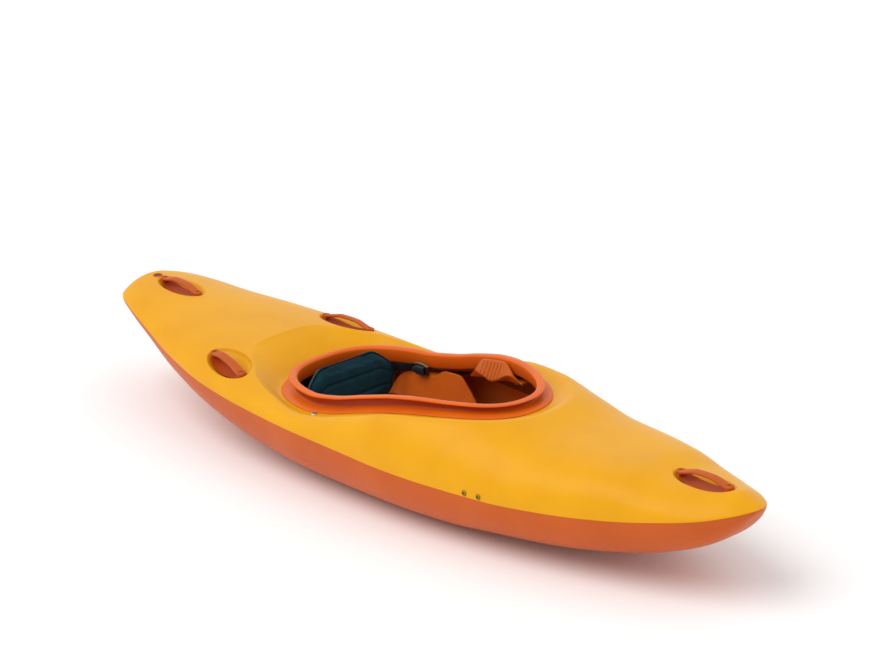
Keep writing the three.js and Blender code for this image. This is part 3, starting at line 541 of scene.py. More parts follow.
def crease_curve(step):
    """The crease behind the cockpit, moved outwards by step, as [x, y] from starboard to port."""
    angle = np.linspace(1.08, 2 * np.pi - 1.08, 190)
    offset = np.full(len(angle), 150.0)
    for _ in range(30):
        x, _ = outline_point(angle, offset)
        offset = 0.5 * offset + 0.5 * (shelf_reach(x) + step)
    x, y = outline_point(angle, offset)
    keep = (x < -285) & (np.abs(y) < half_beam(x) - 12)
    return np.stack([x, y], -1)[keep]


def deck_layout(spacing=9.5):
    """Points over the deck's flat layout, and the edges that have to stay in it."""
    groups, edges = [], []

    def add(points, closed=None):
        start = sum(len(g) for g in groups)
        groups.append(points)
        if closed is not None:
            last = len(points) if closed else len(points) - 1
            edges.extend((start + i, start + (i + 1) % len(points)) for i in range(last))

    # Along the gunwales and across the two ends
    fine = np.linspace(-LENGTH / 2, LENGTH / 2, 6001)
    run = np.concatenate([[0], np.cumsum(np.hypot(np.diff(fine), np.diff(half_beam(fine))))])
    edge_x = np.interp(np.linspace(0, run[-1], int(run[-1] / 6)), run, fine)
    quarter = np.pi / 2 * half_beam(edge_x)
    ends = [np.linspace(-1, 1, n)[1:-1] * np.pi / 2 * half_beam(x) for x, n in ((-1200, 26), (1200, 8))]
    port = np.stack([edge_x, quarter], -1)
    bow = np.stack([np.full(len(ends[1]), 1200.0), ends[1][::-1]], -1)
    starboard = np.stack([edge_x[::-1], -quarter[::-1]], -1)
    stern = np.stack([np.full(len(ends[0]), -1200.0), ends[0]], -1)
    add(np.concatenate([port, bow, starboard, stern]), closed=True)

    # Close rows where the ends curve down
    for depth in (0.5, 1.4, 2.8, 4.8, 7.4, 10.6):
        for x in (-LENGTH / 2 + depth, LENGTH / 2 - depth):
            reach = np.pi / 2 * half_beam(x) - 2.5
            row = np.linspace(-reach, reach, max(3, int(reach / 2)))
            add(np.stack([np.full(len(row), x), row], -1))

    # Rings round the cockpit, the crease, the pockets and the bolts
    for i, offset in enumerate((DECK_HOLE, DECK_HOLE + 4, DECK_HOLE + 9)):
        x, y = outline_point(outline_angles(300 - 40 * i, offset), offset)
        add(laid_flat(x, y), closed=True if i == 0 else None)
    rings = (0.08, 0.2, 0.32, 0.42, 0.5, 0.57, 0.64, 0.7, 0.76, 0.81, 0.86, 0.9, 0.935, 0.965, 0.99,
             1.015, 1.045, 1.08, 1.13, 1.2)
    for name in GRAB_HANDLES:
        add(laid_flat(*round_pocket(name, rings, 88).T))
    for side in SIDES.values():
        angle = round_angles(28)
        for r in (4, 8, 10.2, 11.2, 12.2, 13.6, 16):
            add(laid_flat(SEAT_BOLT["x"] + r * np.cos(angle), side * SEAT_BOLT["y"] + r * np.sin(angle)))
    for step in (-6.5, -3, -1, 0, 1, 3, 6.5):
        x, y = crease_curve(step).T
        heights = np.stack([x, y, deck_height(x, y)], -1)
        clear = np.all([pocket_share(n, heights)[0] > 1.22 for n in GRAB_HANDLES], 0)
        add(laid_flat(x, y)[clear])

    # An even pattern over the rest
    rows = np.arange(-LENGTH / 2 + 15, LENGTH / 2 - 14, spacing * 0.87)
    for i, x in enumerate(rows):
        reach = np.pi / 2 * float(half_beam(x)) - 6
        flat = np.arange(-reach + (i % 2) * spacing / 2, reach, spacing)
        y = half_beam(x) * np.sin(flat / half_beam(x))
        here = np.full(len(flat), x)
        points = np.stack([here, y, deck_height(here, y)], -1)
        offset = outline_offset(here, y)
        keep = offset > DECK_HOLE + 13
        keep &= (np.abs(offset - shelf_reach(here)) > 10) | (here > -280)
        for name in GRAB_HANDLES:
            keep &= pocket_share(name, points)[0] > 1.25
        for side in SIDES.values():
            keep &= np.hypot(here - SEAT_BOLT["x"], y - side * SEAT_BOLT["y"]) > 20
        add(np.stack([here, flat], -1)[keep])
    return np.concatenate(groups), edges


def point_normals(points, faces):
    """A unit normal at each point, from the triangles round it."""
    t = points[faces]
    n = np.cross(t[:, 1] - t[:, 0], t[:, 2] - t[:, 0])
    total = np.zeros_like(points)
    for i in range(3):
        np.add.at(total, faces[:, i], n)
    return total / np.maximum(np.linalg.norm(total, axis=1, keepdims=True), 1e-12)


def thickened(points, faces, wall):
    """A skin of triangles as a closed wall: outer face, inner face and the rims between them."""
    count = len(points)
    inner = points - point_normals(points, faces) * wall[:, None]
    sides = np.concatenate([faces[:, [0, 1]], faces[:, [1, 2]], faces[:, [2, 0]]])
    key = sides[:, 0] * count + sides[:, 1]
    back = sides[:, 1] * count + sides[:, 0]
    rim = sides[~np.isin(key, back)]
    all_faces = faces.tolist() + (faces[:, ::-1] + count).tolist()
    all_faces += np.stack([rim[:, 1], rim[:, 0], rim[:, 0] + count, rim[:, 1] + count], -1).tolist()
    return np.concatenate([points, inner]), all_faces


def wall_thickness(x):
    """The moulding's wall, thinner in the narrow ends so that it doesn't meet itself."""
    return np.minimum(SKIN, 0.3 * half_beam(x))


def deck_skin():
    """The yellow half of the shell: a net of triangles over the deck, with the handles' pockets."""
    layout, edges = deck_layout()
    flat, _, faces, *_ = delaunay_2d_cdt([Vector(p) for p in layout], edges, [], 0, 1e-4)
    flat = np.array(flat)
    faces = np.array(faces)
    beam = half_beam(flat[:, 0])
    limit = np.pi / 2 * beam
    x = flat[:, 0]
    y = beam * np.sin(np.clip(flat[:, 1] / beam, -np.pi / 2, np.pi / 2))
    middle = flat[faces].mean(1)
    inside = np.abs(middle[:, 1]) < np.pi / 2 * half_beam(middle[:, 0])
    middle_y = half_beam(middle[:, 0]) * np.sin(middle[:, 1] / half_beam(middle[:, 0]))
    inside &= outline_offset(middle[:, 0], middle_y) > DECK_HOLE
    faces = faces[inside]
    used = np.unique(faces)
    renumber = np.zeros(len(flat), int)
    renumber[used] = np.arange(len(used))
    faces = renumber[faces]
    x, y, limit = x[used], y[used], limit[used]
    seam = seam_height(x)
    z = seam + (deck_height(x, y) - seam) * tip_share(x)
    points = sink_recesses(sink_pockets(np.stack([x, y, z], -1)))
    if point_normals(points, faces)[:, 2].mean() < 0:
        faces = faces[:, ::-1]
    return thickened(points, faces, wall_thickness(x))


def shell_stations(step):
    """Sections of the hull: even along the boat, and closer where the tips curve in."""
    tip = LENGTH / 2 - TIP_ROUND * (1 - np.sin(np.linspace(0, np.pi / 2, 9)))
    middle = np.arange(-LENGTH / 2 + 16, LENGTH / 2 - 14, step)
    return np.concatenate([-tip[::-1], middle, tip])


def hull_skin():
    """The orange half of the shell, up to the colour line."""
    stations = shell_stations(9)
    turns = np.linspace(-np.pi / 2, np.pi / 2, 101)
    x, turn = np.meshgrid(stations, turns, indexing="ij")
    y = half_beam(x) * np.sin(turn)
    brim = seam_height(x) - SEAM_GAP
    z = brim + np.minimum(0, hull_height(x, y) - brim) * tip_share(x)
    z[:, [0, -1]] = brim[:, [0, -1]]
    points = np.stack([x, y, z], -1).reshape(-1, 3)
    quads = np.array(grid_faces(len(stations), len(turns)))
    faces = np.concatenate([quads[:, [0, 1, 2]], quads[:, [0, 2, 3]]])
    if point_normals(points, faces)[:, 2].mean() > 0:
        faces = faces[:, ::-1]
    return thickened(points, faces, wall_thickness(x.ravel()))


def coaming():
    """The cockpit's rim: its profile carried round the outline, on the shelf's height."""
    profile = filleted(COAMING_PROFILE, 4.5, 5)
    rings = []
    for angle in outline_angles(COAMING_ROUNDS, 20):
        x, y = outline_point(angle, profile[:, 0])
        dip = COAMING_DIP["depth"] * ease(COAMING_DIP["start"], COAMING_DIP["end"], x)
        share = np.clip(profile[:, 1] - 12, 0, None) / (COAMING_HEIGHT - 12)
        rings.append(np.stack([x, y, shelf_height(x) + profile[:, 1] - dip * share], -1))
    return loft(rings, ring_shaped=True)


def coaming_painted_shade():
    """How far each point of the coaming is painted in shade: in its groove, under the lip and low on its
    inner wall.
    """
    out, up = filleted(COAMING_PROFILE, 4.5, 5).T
    groove = (1 - ease(9, 26, out)) * ease(8, 13, up) * (1 - ease(33, 36, up))
    under = ease(7, 12, out) * ease(29, 31, up) * (1 - ease(34, 38, up))
    within = 0.7 * (1 - ease(2, 5, out)) * (1 - ease(8, 33, up))
    return np.tile(np.maximum.reduce([groove * (out > 5), under, within]), COAMING_ROUNDS)


# Grab handles and fasteners

def arch_route(t):
    """Middle line of the handle's bar, t from -1 to 1, as [x, z]."""
    end = HANDLE["half"] - HANDLE["bolt_inset"]
    knots = smooth([[0, HANDLE["arch_rise"]], [26, HANDLE["arch_rise"] - 0.8], [end - 22, 5.5],
                    [end - 6, 1.4], [end, 0.8]])
    x = (end - 5) * t
    return x, knots(np.abs(x))


def handle_bar():
    """Arched strap with round edges, thicker and a little wider at its ends."""
    rings = []
    for t in np.linspace(-1, 1, 61):
        x, z = arch_route(t)
        x2, z2 = arch_route(t + 1e-3)
        slope = Vector((x2 - x, z2 - z)).normalized()
        half_width = HANDLE["arch_width"] / 2 * (0.9 + 0.1 * t * t)
        thick = HANDLE["arch_thick"] / 2 * (1 - 0.12 * t * t)
        ring = []
        for a in np.linspace(0, 2 * np.pi, 28, endpoint=False):
            c, s = math.cos(a), math.sin(a)
            wide = half_width * math.copysign(abs(c) ** 0.55, c)
            lift = thick * math.copysign(abs(s) ** 0.75, s)
            ring.append((x - slope.y * lift, wide, z + slope.x * lift))
        rings.append(ring)
    return loft(rings)


def handle_eye(x):
    """Round housing at the end of the bar, with a recess for the bolt's head."""
    profile = [(7.3, -6), (12.6, -6), (13.4, 2.6), (12, 4.9), (8.6, 5.2), (7.3, 4.4)]
    return hoop(filleted(profile, 1.4, 4), x, 40)


def handle_dish(extra):
    """Thin oval dish that lines the pocket under the bar, and reaches up its outboard wall."""
    half = HANDLE["half"]
    rings = []
    for t in np.linspace(-1, 1, 49):
        x = (half - 1) * math.sin(t * math.pi / 2)
        s = np.linspace(-1, 1, 25)
        wide = np.where(s * extra < 0, HANDLE["base_outboard"], HANDLE["base_half_width"])
        y = s * wide * max(0.25, (1 - abs(x / half) ** 3) ** 0.5)
        share = np.hypot(x / (half + POCKET["margin"]), y / pocket_half_width(extra, y))
        low = pocket_height(share) + 3.2
        top = low + HANDLE["base_thick"] * (1 - 0.35 * s ** 8)
        here = np.full(len(s), x)
        under = np.stack([here, y, low], -1)
        over = np.stack([here, y * 0.985, top], -1)[::-1]
        rings.append(np.concatenate([under, over]))
    return outward(loft(rings))


def moulded(part, voxel, rounds=4):
    """The part's overlapping bodies as one skin, with its corners softened."""
    obj = new_object("moulding", part)
    remesh = obj.modifiers.new("fuse", "REMESH")
    remesh.mode = "VOXEL"
    remesh.voxel_size = voxel * MM
    soften = obj.modifiers.new("soften", "SMOOTH")
    soften.iterations = rounds
    return taken_out(obj)


def grab_handle_part(extra):
    """Bar, eyes and dish of a grab handle, lying along x with its bolts' plane at z = 0."""
    end = HANDLE["half"] - HANDLE["bolt_inset"]
    body = joined(outward(handle_bar()), handle_dish(extra), handle_eye(-end), handle_eye(end))
    return moulded(body, HANDLE["voxel"])


def bolt_part(shank, length, head, height):
    """Button-head bolt with a hexagon socket: its head's underside at z = 0, its shank down."""
    socket = head * 0.42
    return turned([
        (0.01, -length), (shank * 0.8, -length), (shank, -length + 1), (shank, -0.2),
        (head - 0.5, -0.2), (head, 0.4), (head * 0.97, height * 0.35), (head * 0.85, height * 0.7),
        (head * 0.68, height * 0.92), (socket * 1.25, height), (socket, height - 0.3),
        (socket, height * 0.35), (0.01, height * 0.3),
    ], 36, socket=socket)


def drain_parts():
    """The drain's ring, and its plug with the wing that fingers turn it by."""
    top = float(deck_height(DRAIN["x"], 0))
    low = top - DRAIN["depth"]
    bore = DRAIN["plug"] + 0.6
    seat = hoop(bar_section((bore, low), (DRAIN["seat"], top + 2), 1.2, 4), DRAIN["x"], 48)
    r = DRAIN["plug"]
    plug = turned([
        (0.01, low - 2), (r - 3, low - 2), (r - 0.4, low + 1), (r - 0.4, top - 1), (r, top),
        (r, top + 1.6), (r - 0.8, top + 2.6), (r * 0.62, top + 2.8), (r * 0.55, top + 2.0),
        (r * 0.45, top - 2), (0.01, top - 2.2),
    ], 48, socket=r * 0.5)
    wing = block((15, 2.6, 4), (0, 0, top + 1.6), 1.0)
    return seat, placed(joined(plug, wing), Matrix.Translation((DRAIN["x"], 0, 0)))


# Seat, back band, ratchets and braces

seat_floor = smooth([[-322, 92], [-250, 72], [-200, 46], [-90, 34], [0, 42], [58, 64]])
seat_wall = smooth([
    [-322, 134], [-300, 160], [-280, 174], [-250, 185], [-225, 190], [-165, 190.5], [-150, 199],
    [-118, 216], [-60, 220], [-20, 190], [58, 92],
])
seat_wide = smooth([[-322, 178], [-250, 184], [-180, 188], [0, 184], [58, 168]])
seat_ridge = smooth([[-140, 0], [-20, 22], [20, 34], [58, 30]])


def seat_line(x, inside=None):
    """The pan's upper face across the boat at x, or only from inside to port, as [y, z]."""
    wide, floor = float(seat_wide(x)), float(seat_floor(x))
    start, count = (-np.pi / 2, 81) if inside is None else (math.asin(inside / wide), 25)
    s = np.sin(np.linspace(start, np.pi / 2, count))
    y = wide * s
    wall = (float(seat_wall(x)) - floor) * np.abs(s) ** WALL_POWER
    return np.stack([y, floor + float(seat_ridge(x)) * np.exp(-(y / 40) ** 2) + wall], -1)


def seat_skin(stations, inside=None):
    """The pan's wall through the stations, or only from inside to port."""
    def section(x):
        line = seat_line(x, inside)
        along = np.gradient(line, axis=0)
        along /= np.linalg.norm(along, axis=1, keepdims=True)
        return filleted_ends(line, line + SEAT["thick"] * np.stack([along[:, 1], -along[:, 0]], -1))
    return lofted(section, stations)


def filleted_ends(line, under):
    """One outline from an upper line and the line under it, with round lips where they meet."""
    def lip(a, b, outwards):
        middle = (a + b) / 2
        arm = (a - b) / 2
        turn = np.linspace(0, np.pi, 7)[1:-1, None]
        return middle + arm * np.cos(turn) + outwards * np.linalg.norm(arm) * np.sin(turn)
    port = line[-1] - line[-2]
    starboard = line[0] - line[1]
    first = lip(line[-1], under[-1], port / np.linalg.norm(port) * 0.6)
    second = lip(under[0], line[0], starboard / np.linalg.norm(starboard) * 0.6)
    return np.concatenate([line, first, under[::-1], second])


def seat_wing(side):
    """Flat wing that grows out of the pan's wall and carries the seat bolt."""
    low, high = SEAT["wing_z"] - WING["half_thick"], SEAT["wing_z"] + WING["half_thick"]

    def section(x):
        floor, wall = float(seat_floor(x)), float(seat_wall(x))
        rise = min(1.0, (low - floor) / (wall - floor))
        root = float(seat_wide(x)) * rise ** (1 / WALL_POWER) + 2
        return bar_section((root, low), (SEAT_BOLT["y"] + WING["past_bolt"], high), 1.5) * (side, 1)
    start, end = SEAT_BOLT["x"] - WING["half_length"], SEAT_BOLT["x"] + WING["half_length"]
    return lofted(section, np.linspace(start, end, 15))


def seat_runner(side):
    """Rib under the pan, which rests on the hull's floor."""
    rear, front = RUNNER["rear"], RUNNER["front"]
    foot = [float(hull_height(x, RUNNER["outer_y"])) + SKIN + 4 for x in (rear, front)]

    def section(x):
        low = foot[0] + (foot[1] - foot[0]) * (x - rear) / (front - rear) + 1
        top = float(seat_floor(x)) + 2
        y0, y1 = side * RUNNER["inner_y"], side * RUNNER["outer_y"]
        return [(y0, low), (y1, low), (y1, top), (y0, top)]
    return lofted(section, np.linspace(rear, front, 9))


def seat_part():
    """The pan with its cheeks, wings, ears and runners."""
    cheek = seat_skin(np.linspace(SEAT["cheek_rear"] + 1, SEAT["rear"] + 1, 20), CHEEK_INSIDE)
    parts = [seat_skin(np.linspace(SEAT["rear"] + 1, SEAT["front"] - 1, 64)), cheek, mirrored(cheek, -1)]
    hinge = BAND_HINGE
    for side in SIDES.values():
        ear = block((50, 8, 60), (hinge["x"] + 14, side * hinge["ear_y"], hinge["z"] - 20), 3)
        parts += [seat_wing(side), ear, seat_runner(side)]
    return joined(*parts)


def band_top(across):
    """Height of the band's upper edge, which falls away outside its two corners."""
    outside = np.clip((np.abs(across) - BAND["corner"]) / (1 - BAND["corner"]), 0, None)
    return BAND["top"] - BAND["corner_drop"] * outside ** 1.3


def band_point(across, up):
    """Middle surface of the back band, which leans back."""
    u = np.abs(across)
    top = band_top(u)
    bottom = BAND["bottom"] + 30 * u ** 4
    z = bottom + (top - bottom) * up
    x = BAND["x"] - BAND["lean"] * (z - BAND["bottom"]) / (BAND["top"] - BAND["bottom"]) - 5 * u * u
    half_width = BAND["foot_half_width"] + (BAND["half_width"] - BAND["foot_half_width"]) * ease(0, 0.8, up)
    return np.stack([x, half_width * across, z], -1)


def band_layer(size, counts):
    """A grid over part of the band, and its points on the band's middle surface."""
    across = np.linspace(-size["across"], size["across"], counts[0])
    up = np.linspace(size["low"], size["high"], counts[1])
    across, up = np.meshgrid(across, up, indexing="ij")
    return across, up, band_point(across, up)


def band_sheet():
    """Stiff sheet behind the pad, with a lug at each side for the pins."""
    _, _, front = band_layer(BAND_SHEET, (61, 25))
    back = front - (BAND_SHEET["thick"], 0, 0)
    parts = [outward(loft(np.concatenate([front, back[:, ::-1]], 1)))]
    hinge = BAND_HINGE
    for side in SIDES.values():
        y = side * hinge["lug_y"]
        parts.append(block((25, 7, 22), (hinge["x"] - 2, y, hinge["z"]), 2))
        parts.append(block((3, 7, 31), (hinge["x"] - 12.8, y, hinge["z"] + 15.5), 1))
    return joined(*parts)


def band_pad_start():
    """The pad before it is filled: a slim closed form that follows the band."""
    across, up, surface = band_layer(PAD, (57, 23))
    edge = (1 - np.abs(across / PAD["across"]) ** 8) * (1 - np.abs((2 * up - 1) / 0.94) ** 6)
    swell = PAD["edge"] + PAD["swell"] * np.sqrt(np.clip(edge, 0, 1))
    front = surface + np.stack([swell, 0 * up, 0 * up], -1)
    back = surface + (2, 0, 0)
    return outward(loft(np.concatenate([front, back[:, ::-1]], 1)))


def puffed(part, voxel, cap, free, frames=20):
    """The part as cloth blown up from inside.

    Each point moves cap at most, times what free gives for it: 0 where it is sewn down, 1 elsewhere.
    """
    start, faces = moulded(part, voxel, rounds=2)
    obj = new_object("filling", (start, faces))
    cloth = obj.modifiers.new("cloth", "CLOTH")
    cloth.settings.use_pressure = True
    cloth.settings.uniform_pressure_force = 4
    cloth.settings.effector_weights.gravity = 0
    cloth.point_cache.frame_start = 1
    cloth.point_cache.frame_end = frames
    for step in range(1, frames + 1):
        bpy.context.scene.frame_set(step)
    move = taken_out(obj)[0] - start
    bpy.context.scene.frame_set(1)
    far = np.linalg.norm(move, axis=1, keepdims=True)
    return start + move * np.minimum(1, cap / np.maximum(far, 1e-9)) * free(start)[:, None], faces


def band_place(points):
    """Where points on the band lie, as parts of its half width and of its height."""
    across = np.abs(points[:, 1]) / BAND["half_width"]
    up = (points[:, 2] - BAND["bottom"]) / (band_top(across) - BAND["bottom"])
    return across, up


def off_the_seam(points):
    """0 at the pad's edge, where it is sewn to its piping, and 1 away from it."""
    across, up = band_place(points)
    return (1 - ease(0.78, 0.94, across)) * (1 - ease(0.7, 0.92, np.abs(2 * up - 1)))


def band_pad():
    """Foam pad in cloth, swelled from its slim form, with two sewn channels across it."""
    points, faces = puffed(band_pad_start(), PAD["voxel"], PAD["give"], off_the_seam)
    span = BAND["top"] - BAND["bottom"]
    across, up = band_place(points)
    for line in PAD["channels"]:
        groove = np.exp(-((up - line) * span / PAD["channel_width"]) ** 2) * (1 - ease(0.86, 0.97, across))
        front = points[:, 0] > BAND["x"] - BAND["lean"] * up + 3
        points[front, 0] -= PAD["channel_depth"] * groove[front]
    return points, faces


def band_piping():
    """Sewn cord round the pad's edge."""
    t = np.linspace(0, 1, 60, endpoint=False)
    reach, low, high = PAD["across"], PIPING["low"], PIPING["high"]
    run, fall = 2 * reach * t - reach, (high - low) * t
    sides = [(run, 0 * t + high), (0 * t + reach, high - fall),
             (-run, 0 * t + low), (0 * t - reach, low + fall)]
    line = np.concatenate([band_point(a, u) for a, u in sides]) + (PAD["edge"], 0, 0)
    line = np.concatenate([line[-3:], line, line[:3]])
    line = np.stack([np.convolve(line[:, k], np.ones(7) / 7, "valid") for k in range(3)], -1)
    return tube(line, PIPING["radius"], closed=True)


def tube(line, radius, sides=8, closed=False):
    """A round bar along a line of points."""
    line = np.asarray(line, float)
    along = np.roll(line, -1, 0) - np.roll(line, 1, 0) if closed else np.gradient(line, axis=0)
    along /= np.linalg.norm(along, axis=1, keepdims=True)
    first = np.cross(along, (0.3, 0.2, 0.93))
    first /= np.linalg.norm(first, axis=1, keepdims=True)
    second = np.cross(along, first)
    angle = round_angles(sides)[None, :, None]
    rings = line[:, None] + radius * (first[:, None] * np.cos(angle) + second[:, None] * np.sin(angle))
    return outward(loft(rings, ring_shaped=closed))


def strap_part():
    """Webbing on edge from the band's end to the ratchet, with the ladder's ribs at its front."""
    start = np.array(STRAP["start"])
    run = np.array([RATCHET["x"] - 29, RATCHET["y"] - 1, RATCHET["z"]]) - start
    section = bar_section((-STRAP["half_thick"], -STRAP["half_wide"]),
                          (STRAP["half_thick"], STRAP["half_wide"]), 0.8)
    parts = [swept(section, [start + run * t for t in np.linspace(0, 1, 40)])]
    ribs = [(0.48 + 0.055 * i, (1.8, 1.6, 15), 1.5, 0.5) for i in range(9)]
    seams = [(0.03 + 0.2 * i, (1.0, 0.8, 18), 1.2, 0.3) for i in range(2)]
    for t, size, inwards, radius in ribs + seams:
        parts.append(block(size, start + run * t - (0, inwards, 0), radius, 2))
    return joined(*parts)


def ratchet_base():
    """Foot, plate, two cheeks and two screws of the port ratchet."""
    x, y, z = RATCHET["x"], RATCHET["y"], RATCHET["z"]
    parts = [block((54, 5, 24), (x, y, z + 0.6), 1.6)]
    parts.append(block((54, 9, 4), (x, y + 2, SEAT["wing_z"] + 6.6), 1.2))
    for dz in (-10.2, 10.2):
        parts.append(block((30, 13, 2.4), (x + 4, y - 8, z + dz), 1.0))
    for dz in (-6, 6):
        head = turned([(0.01, 0), (3.4, 0), (3.2, 1.2), (2, 1.8), (0.01, 2)], 20)
        frame_at = Matrix.Translation((x - 22, y - 2.5, z + dz)) @ Matrix.Rotation(math.pi / 2, 4, "X")
        parts.append(placed(head, frame_at))
    return joined(*parts)


def ratchet_cap():
    """Thin bow over the ratchet's upper edge, where its spring is pinned; its lighter grey is a painted
    highlight.
    """
    x, y, z = RATCHET["x"], RATCHET["y"], RATCHET["z"]
    route = [(x + 27 * t, y, z + 12.8 + 4.2 * (1 - t * t)) for t in np.linspace(-1, 1, 25)]
    return swept(bar_section((-4.5, -0.8), (3, 0.8), 0.6), route)


def ratchet_lever():
    """The port ratchet's lever, thick at its thumb grip, on its barrel."""
    x, y, z = RATCHET["x"], RATCHET["y"], RATCHET["z"]
    plate = []
    for t in np.linspace(0, 1, 25):
        along = x - 24 + 44 * t
        thick = 2 + 1.0 * math.exp(-((t - 0.08) / 0.08) ** 2)
        tall = 8.4 * (1 - 0.75 * (1 - t) ** 12)
        section = bar_section((-thick, -tall), (thick, tall), 1.2)
        plate.append([(along, y - 13 + a, z + b) for a, b in section])
    parts = [outward(loft(plate))]
    for i in range(4):
        parts.append(block((1.4, 1.2, 12), (x - 20 + 4 * i, y - 15.2, z), 0.4, 2))
    barrel = turned([(0.01, -8.5), (3.6, -8.5), (4.2, -7.9), (4.2, 7.9), (3.6, 8.5), (0.01, 8.5)], 24)
    parts.append(placed(barrel, Matrix.Translation((x + 14, y - 9, z))))
    return joined(*parts)


def brace_section(x):
    """Section of a thigh brace at x, out from the opening's edge and up from the shelf."""
    reach, low = float(thigh_reach(x)), float(thigh_edge(x))
    raised = float(ease(-20, 50, x) * (1 - ease(140, 222, x)))
    crest = THIGH["plate"] + (THIGH["crest"] - THIGH["plate"]) * raised
    corners = [
        (34, -16), (6, -14), (-min(8, reach * 0.4), THIGH["plate"] - 0.3), (-min(8.1, reach * 0.45), crest),
        (-min(12, reach * 0.7), crest - 0.4), (-reach * 0.82, low + (crest - low) * 0.3), (-reach, low),
        (2 - reach, max(low - 5, -19.8)), (-min(6, reach * 0.3), -20), (35, -22),
    ]
    return np.array(corners)


def thigh_brace():
    """Brace to port, with raised ribs down the face that the thigh bears on."""
    def edge(x):
        return opening_half_width(x), float(shelf_height(x))

    def section(x):
        return filleted(brace_section(x), 3.2, 5) + edge(x)
    parts = [lofted(section, np.linspace(THIGH["rear"], THIGH["front"], 90))]
    for x in THIGH["ribs"]:
        top, bend, foot = brace_section(x)[4:7] + edge(x)
        t = np.linspace(0.06, 0.9, 14)[:, None]
        face = top * (1 - t) ** 2 + 2 * bend * t * (1 - t) + foot * t ** 2
        parts.append(tube(at_x(x, face + (-0.2, -0.9)), 2.6, 10))
    return joined(*parts)


# Foam

def foam_wall(start, end):
    """Upright foam wall between the hull's floor and the deck, cut with its edges eased."""
    edge = FOAM_WALL["edge"]

    def section(x):
        near = max(0.0, 1 - min(x - start, end - x) / edge)
        pull = edge * (1 - math.sqrt(1 - near * near))
        foot = float(hull_height(x, 0)) + SKIN + FOAM_WALL["off_floor"] + pull
        head = float(deck_height(x, 0)) - SKIN - FOAM_WALL["off_deck"] - pull
        half = FOAM_WALL["half_thick"] - pull
        return bar_section((-half, foot), (half, head), edge, 5)
    inner = np.arange(start + edge, end - edge + 0.1, 12)
    return lofted(section, np.concatenate([[start, start + 1.5], inner, [end - 1.5, end]]))


def foot_pad():
    """Thick foam pad on the footplate, swelled a little, with three grooves for grip."""
    inset = FOOT_PAD["inset"]
    port = [(y - inset, z + math.copysign(inset, 165 - z)) for y, z in FOOTPLATE_OUTLINE]
    outline = filleted(port + [(-y, z) for y, z in reversed(port)], 26, 7)
    middle = outline.mean(0)
    front, rings = FOOT_PAD["back"] - FOOT_PAD["thick"], []
    away = outline - middle
    away /= np.linalg.norm(away, axis=1, keepdims=True)
    for depth, pull in ((0, 1.5), (1.5, 0), (6, 0), (9, 0.6), (11.5, 2.2), (13, 4.6)):
        rings.append(at_x(FOOT_PAD["back"] - depth, outline - away * pull))
    for share in (0.9, 0.78, 0.64, 0.5, 0.36, 0.22, 0.1):
        ring = middle + (rings[5][:, 1:] - middle) * share
        groove = sum(np.exp(-((ring[:, 1] - z) / 5) ** 2) for z in (125, 165, 205))
        rings.append(at_x(front + 1.2 * share ** 4 + 3 * groove, ring))
    return outward(loft(rings))


# Materials

def linear(hex_colour):
    """An sRGB hex colour as the linear values that shaders take."""
    values = [int(hex_colour[i:i + 2], 16) / 255 for i in (1, 3, 5)]
    return tuple(v / 12.92 if v <= 0.04045 else ((v + 0.055) / 1.055) ** 2.4 for v in values) + (1,)


def per_mm(size):
    """A texture scale whose pattern repeats about every size millimetres."""
    return 1 / (size * MM)


def node(tree, kind, **settings):
    """Adds a node with its settings, each named for a property or an input, with _ for a space.

    An input whose name repeats is i and its number. A socket given for an input is linked to it.
    stops are a colour ramp's positions and colours, where a bare number is a grey.
    """
    made = tree.nodes.new("ShaderNode" + kind)
    for key, value in settings.items():
        numbered = key[0] == "i" and key[1:].isdigit()
        name = int(key[1:]) if numbered else key.replace("_", " ")
        if key == "stops":
            elements = made.color_ramp.elements
            while len(elements) < len(value):
                elements.new(0.5)
            for element, (position, colour) in zip(elements, value):
                element.position = position
                element.color = colour if isinstance(colour, tuple) else (colour, colour, colour, 1)
        elif not numbered and name not in made.inputs:
            setattr(made, key, value)
        elif isinstance(value, bpy.types.NodeSocket):
            tree.links.new(value, made.inputs[name])
        else:
            made.inputs[name].default_value = value
    return made


def new_material(name):
    material = bpy.data.materials.new(name)
    material.use_nodes = True
    material.node_tree.nodes.clear()
    return material, material.node_tree


def finished(material, shader, height=None, strength=0.0, deep=0.0):
    """The material with this shader as its surface. A height gives it a bump, deep in metres."""
    tree = material.node_tree
    if height is not None:
        bump = node(tree, "Bump", Strength=strength, Distance=deep, Height=height)
        tree.links.new(bump.outputs[0], shader.inputs["Normal"])
    node(tree, "OutputMaterial", Surface=shader.outputs[0])
    return material


RUBBED = "#d9a183"  # orange polyethylene, paled by stones


